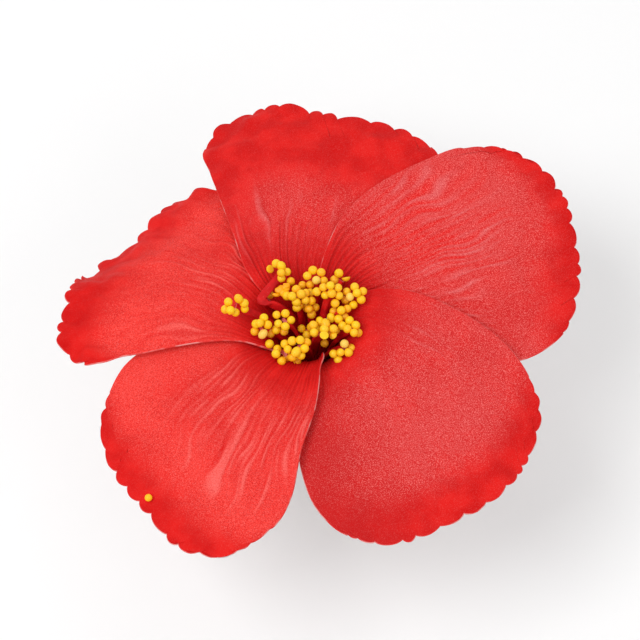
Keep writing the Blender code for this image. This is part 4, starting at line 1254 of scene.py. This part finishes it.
# ---------------------------------------------------------------- glue, felt and clip

LATHE_TURNS = 96
LATHE_START = 20
LATHE_ROW_STEP = 0.7
BAR_ENDS = 2.5  # how blunt a drawn-out form's ends are
MIDDLE_R = 0.05  # the flat spot in the middle of a turned form
CORE_PROFILE = (
    (MIDDLE_R, 3.5), (9.0, 3.45), (12.6, 3.5), (13.0, 3.8), (12.2, 4.3), (10.4, 4.6), (8.6, 4.9), (7.4, 5.3),
    (6.3, 6.0), (5.6, 7.0), (5.1, 8.2), (4.9, 9.3), (4.7, 10.2), (4.4, 11.0), (3.7, 11.5), (2.6, 11.7),
    (1.3, 11.6), (MIDDLE_R, 11.7),
)
RED_FROM_Z = 7.6  # above this the glue is wrapped by a strip of red foam
# The unevenness of each turned form: roughness, grain and seed.
CORE_UNEVENNESS = (0.05, 0.5, 71)
FELT_UNEVENNESS = (0.006, 0.35, 77)
CLIP_GLUE_UNEVENNESS = (0.05, 1.1, 79)
STRING_R = 0.05
STRING_ENDS = (0.5, 1.2)
STRING_SIDES = 6
STRING_STEPS = 14
# Fine strings of glue drawn out between the clumps: start, end and sag, as (right, up, out) about
# the mouth's middle.
GLUE_STRINGS = (
    ((2.0, 0.6, 1.0), (3.9, -0.5, 2.2), 0.5),
    ((1.6, -1.2, 1.2), (3.4, 0.4, 2.6), -0.4),
    ((-5.2, -9.0, 1.0), (-2.8, -9.9, 1.6), 0.3),
    ((-6.2, -6.4, 2.2), (-3.6, -5.6, 3.4), -0.5),
)
GLUE_DABS = (
    (-3.4, -6.6, 3.0, 0.75, 0.5, 0.4),
    (-4.2, -7.4, 2.4, 0.6, 0.45, 0.35),
    (2.8, -0.1, 1.6, 0.5, 0.4, 0.3),
    (-4.9, -9.5, 0.4, 1.2, 0.35, 0.35),
)
FELT_R = 18.0
FELT_Z = 1.9
FELT_THICKNESS = 1.5
FELT_EDGE = 0.35
FELT_EDGE_SHARES = (0.25, 0.5, 0.75)
FELT_RINGS = 26
FELT_TURNS = 180
FELT_LUMP = 0.10
FELT_LUMP_SIZE = 0.8
FELT_LUMP_START = 40
FELT_LUMP_SEED = 78
FIBRE_COUNT = 420
FIBRE_SIDES = 3
FIBRE_R = 0.03
FIBRE_TAPER = 0.6
FIBRE_DEPTH = 0.3  # inside the edge, where fibres start
FIBRE_HEIGHTS = (0.1, 0.9)
FIBRE_SCATTER = 0.7
FIBRE_CURL = 0.35
FIBRE_LENGTH = (0.5, 1.5)
FIBRE_STEPS = 5
FIBRE_SEED = 83
CLIP_GLUE_HALF_LENGTH = 11.6
CLIP_GLUE_PROFILE = (
    (MIDDLE_R, 0.86), (2.4, 0.86), (3.6, 0.88), (4.1, 1.02), (4.35, 1.25), (4.3, 1.5), (3.95, 1.72),
    (2.4, 1.80), (MIDDLE_R, 1.80),
)
PIN_X = 7.0
PIN_Z = -2.5
SPRING_WIDTH = 4.4
SPRING_THICKNESS = 0.35
SPRING_ROUND = 0.12
SPRING_WRAP_R = 1.45
SPRING_WRAP_POINTS = 24
SPRING_TOP = ((18.5, -0.475), (11.0, -0.525))  # (x, z) under the plate
SPRING_LEG = ((10.0, -3.95), (17.5, -7.49))  # and along the thumb tab
SPRING_ARC_DEG = (90, 250)
SPRING_STEP = 0.2
SPRING_SMOOTHING = 7
SPRING_END_ROUND = 1.1
SPRING_END_NARROWING = 0.9
BEVEL_WIDTH = 0.12
BEVEL_STEPS = 3
BEVEL_ANGLE_DEG = 35.0


def lathe(profile, turns, unevenness, half_length=0.0):
    """A closed form turned about Z from (radius, height) stations, made uneven by smooth noise.
    With a half_length it is drawn out along X into a rounded bar."""
    roughness, grain, seed = unevenness
    widest = max(station[0] for station in profile)
    points = []
    for row, (radius, height) in enumerate(profile):
        for k in range(turns):
            turn = 2 * math.pi * k / turns
            u = np.array([grain * math.cos(turn) * widest + LATHE_START])
            v = np.array([grain * math.sin(turn) * widest + LATHE_START + LATHE_ROW_STEP * row])
            bump = lattice_noise(u, v, seed)[0]
            reach = radius * (1 + roughness * bump)
            stretch = half_length * radius / widest * max(-1.0, min(1.0, BAR_ENDS * math.cos(turn)))
            x = reach * math.cos(turn) + stretch
            points.append((x, reach * math.sin(turn), height + 2 * roughness * bump))
    return points, tube_faces(0, len(profile), turns)


def add_string(points, faces, start, end, sag):
    """Adds a thin sagging string of glue between two places."""
    middle = Vector((0, 0, MOUTH_Z))
    first, last = (seen_from(middle, *at) for at in (start, end))
    along = (last - first).normalized()
    side = along.cross(VIEW_OUT).normalized()
    other = along.cross(side)
    faces += tube_faces(len(points), STRING_STEPS, STRING_SIDES)
    for k in range(STRING_STEPS):
        t = k / (STRING_STEPS - 1)
        centre = first.lerp(last, t) - VIEW_UP * (4 * sag * t * (1 - t))
        thick = STRING_R * (STRING_ENDS[0] + STRING_ENDS[1] * (2 * t - 1) ** 2)
        points += thread_ring(centre, side, other, thick, STRING_SIDES)


def add_dabs(piece):
    """Small clear dabs of glue between the beads."""
    form = bmesh.new()
    form.from_mesh(piece.data)
    bmesh.ops.scale(form, vec=(1 / MM, 1 / MM, 1 / MM), verts=form.verts)
    for dab in GLUE_DABS:
        add_blob(form, DAB_SUBDIVISIONS, Vector((0, 0, MOUTH_Z)), dab, 2)
    bmesh.ops.scale(form, vec=(MM, MM, MM), verts=form.verts)
    form.to_mesh(piece.data)
    form.free()


def make_glue_core(glue, wrap, clear):
    """The glue that holds petals and stamens, its wrap of red foam, and the fine strings it left."""
    points, faces = lathe(CORE_PROFILE, LATHE_TURNS, CORE_UNEVENNESS)
    slots = [int(sum(points[v][2] for v in face) / len(face) > RED_FROM_Z) for face in faces]
    for start, end, sag in GLUE_STRINGS:
        add_string(points, faces, start, end, sag)
    slots += [2] * (len(faces) - len(slots))
    piece = add_piece("set_glue_and_wrap", points, faces, [glue, wrap, clear], slots)
    add_dabs(piece)
    make_outward(piece)
    place_piece(piece, "glue_core")


def felt_profile():
    """Stations from the middle of the underside round the edge to the middle of the top."""
    flat_r = FELT_R - FELT_EDGE
    rings = [max(MIDDLE_R, flat_r * k / FELT_RINGS) for k in range(FELT_RINGS + 1)]
    edge = []
    for share in FELT_EDGE_SHARES:
        edge.append((flat_r + FELT_EDGE * math.sin(math.pi * share), FELT_Z + FELT_THICKNESS * share))
    top = FELT_Z + FELT_THICKNESS
    return [(radius, FELT_Z) for radius in rings] + edge + [(radius, top) for radius in reversed(rings)]


def add_fibres(points, faces):
    """Short loose fibres that stand out from the felt's cut edge."""
    random = np.random.default_rng(FIBRE_SEED)
    for _ in range(FIBRE_COUNT):
        turn = random.uniform(0, 2 * math.pi)
        place = Vector((math.cos(turn), math.sin(turn), 0)) * (FELT_R - FIBRE_DEPTH)
        place.z = FELT_Z + FELT_THICKNESS * random.uniform(*FIBRE_HEIGHTS)
        heading = Vector((math.cos(turn), math.sin(turn), 0)) + Vector(random.normal(size=3)) * FIBRE_SCATTER
        heading.normalize()
        curl = Vector(random.normal(size=3)) * FIBRE_CURL
        length = random.uniform(*FIBRE_LENGTH)
        side = heading.orthogonal().normalized()
        other = heading.cross(side)
        faces += tube_faces(len(points), FIBRE_STEPS, FIBRE_SIDES)
        for k in range(FIBRE_STEPS):
            t = k / (FIBRE_STEPS - 1)
            centre = place + heading * (length * t) + curl * (length * t * t)
            points += thread_ring(centre, side, other, FIBRE_R * (1 - FIBRE_TAPER * t), FIBRE_SIDES)


def make_felt(material):
    """The felt disc: matted faces, a cut edge that is not quite round, and loose fibres round it."""
    points, faces = lathe(felt_profile(), FELT_TURNS, FELT_UNEVENNESS)
    points = np.array(points)
    places = points[:, :2] / FELT_LUMP_SIZE + FELT_LUMP_START
    lumps = lattice_noise(places[:, 0], places[:, 1], FELT_LUMP_SEED)
    middle_z = FELT_Z + FELT_THICKNESS / 2
    points[:, 2] += FELT_LUMP * lumps * np.sign(points[:, 2] - middle_z)
    points = [tuple(point) for point in points]
    add_fibres(points, faces)
    piece = add_piece("felt_disc", points, faces, [material])
    make_outward(piece)
    place_piece(piece, "felt_backing")


def make_clip_glue(material):
    """The glue between the clip and the felt, pressed out unevenly along its edges."""
    points, faces = lathe(CLIP_GLUE_PROFILE, LATHE_TURNS, CLIP_GLUE_UNEVENNESS, CLIP_GLUE_HALF_LENGTH)
    piece = add_piece("pressed_out_glue", points, faces, [material])
    make_outward(piece)
    place_piece(piece, "clip_glue")


def spring_line():
    """The leaf spring's (x, z) centre line, evenly spaced and with soft bends."""
    start, end = (math.radians(turn) for turn in SPRING_ARC_DEG)
    wrap = []
    for turn in np.linspace(start, end, SPRING_WRAP_POINTS):
        wrap.append((PIN_X + SPRING_WRAP_R * math.cos(turn), PIN_Z + SPRING_WRAP_R * math.sin(turn)))
    corners = np.array([*SPRING_TOP, *wrap, *SPRING_LEG])
    count = int(lengths_along(corners)[-1] / SPRING_STEP)
    line = resampled(corners, np.linspace(0, 1, count))
    margin = SPRING_SMOOTHING // 2
    soft = line.copy()
    for k in range(margin, count - margin):
        soft[k] = line[k - margin : k + margin + 1].mean(0)
    return soft


def make_spring(material):
    """The leaf spring: its upper leaf lies under the plate and its leg runs along the thumb tab."""
    line = spring_line()
    ahead = np.gradient(line, axis=0)
    ahead /= np.linalg.norm(ahead, axis=1)[:, None]
    run = lengths_along(line)
    points = []
    for k, (x, z) in enumerate(line):
        to_end = min(run[k], run[-1] - run[k])
        missing = max(0.0, 1 - to_end / SPRING_END_ROUND)
        rounding = 2 * SPRING_END_ROUND * (1 - math.sqrt(1 - missing * missing)) * SPRING_END_NARROWING
        for across, through in strip_section(SPRING_WIDTH - rounding, SPRING_THICKNESS, SPRING_ROUND):
            points.append((x - ahead[k][1] * through, across, z + ahead[k][0] * through))
    piece = add_bar("bent_leaf_spring", points, len(line), [material])
    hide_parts("leaf_spring")
    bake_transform(piece)


def finish_cad_node(node, material):
    """Gives a carried-over node its detailed material and soft edges."""
    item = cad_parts[node]
    for material_slot in item.material_slots:
        material_slot.link = "OBJECT"
        material_slot.material = material
    bevel = item.modifiers.new("soft_edges", "BEVEL")
    bevel.width = BEVEL_WIDTH * MM
    bevel.segments = BEVEL_STEPS
    bevel.limit_method = "ANGLE"
    bevel.angle_limit = math.radians(BEVEL_ANGLE_DEG)
    bevel.harden_normals = True


# ---------------------------------------------------------------- stage, lights, camera

# Metres and watts.
JAW_ROOM = 0.0145  # the floor is this far below the clip, and the open jaw stays above it
FLOOR_HALF = 3.0
FLOOR_WHITE = (0.93, 0.93, 0.93)
SKY_STRENGTH = 0.68
LIGHTS = (  # name, place, power and size
    ("key", (-0.45, -0.25, 0.85), 3.9, 0.5),
    ("fill", (0.65, -0.55, 0.60), 1.3, 0.7),
    ("back", (0.10, 0.80, 0.55), 1.1, 0.6),
)
NEAREST_SEEN = 0.01
PLATED = ("nickel_steel", (0.60, 0.59, 0.58), 0.22, 5200.0)  # name, colour, roughness, brushing
SPRUNG = ("spring_steel", (0.34, 0.34, 0.36), 0.28, 4200.0)


def make_floor():
    """A plain pale floor."""
    z = CAD_BOX[0][2] - JAW_ROOM
    half = FLOOR_HALF
    mesh = bpy.data.meshes.new("floor")
    corners = [(-half, -half, z), (half, -half, z), (half, half, z), (-half, half, z)]
    mesh.from_pydata(corners, [], [(0, 1, 2, 3)])
    mesh.materials.append(Paint("pale_floor").finish(FLOOR_WHITE, Roughness=0.9))
    link_object("floor", mesh)


def make_lights():
    """An even white surround and three soft square lights aimed at the flower's mouth."""
    world = bpy.context.scene.world or bpy.data.worlds.new("studio")
    bpy.context.scene.world = world
    world.use_nodes = True
    background = world.node_tree.nodes["Background"]
    background.inputs["Color"].default_value = (1.0, 1.0, 1.0, 1.0)
    background.inputs["Strength"].default_value = SKY_STRENGTH
    for name, place, power, size in LIGHTS:
        light = bpy.data.lights.new(name, "AREA")
        light.energy = power
        light.size = size
        item = link_object(name, light)
        item.location = place
        aim = Vector((0, 0, MOUTH_Z * MM)) - Vector(place)
        item.rotation_euler = aim.to_track_quat("-Z", "Y").to_euler()


def make_camera():
    """A long lens, tilted down at the flower's mouth."""
    data = bpy.data.cameras.new("camera")
    data.sensor_width = SENSOR_WIDTH
    data.lens = SENSOR_WIDTH * VIEW_DISTANCE / VIEW_WIDTH
    data.shift_x = VIEW_SHIFT
    data.clip_start = NEAREST_SEEN
    camera = link_object("camera", data)
    camera.location = (Vector((0, 0, MOUTH_Z)) + VIEW_OUT * VIEW_DISTANCE) * MM
    camera.rotation_euler = (math.radians(90 - VIEW_ELEVATION_DEG), 0, 0)
    bpy.context.scene.camera = camera


def main():
    make_camera()
    make_lights()
    make_floor()
    bpy.context.scene.view_settings.view_transform = "Standard"
    petal_materials = [petal_top_material(), petal_edge_material(), petal_back_material()]
    for name in PETALS:
        make_petal(name, petal_materials)
    strip_materials = [strip_material(), strip_end_material()]
    for index in range(len(STAMENS)):
        make_strip(index, strip_materials)
    beads = bead_material()
    make_clumps(beads, smear_material())
    make_stray_bead(beads)
    glue = glue_material()
    make_glue_core(glue, strip_materials[0], clear_glue_material())
    make_clip_glue(glue)
    make_felt(felt_material())
    plated = steel_material(*PLATED)
    for node in ("clip_top_plate", "clip_jaw", "hinge_pin"):
        finish_cad_node(node, plated)
    make_spring(steel_material(*SPRUNG))


main()
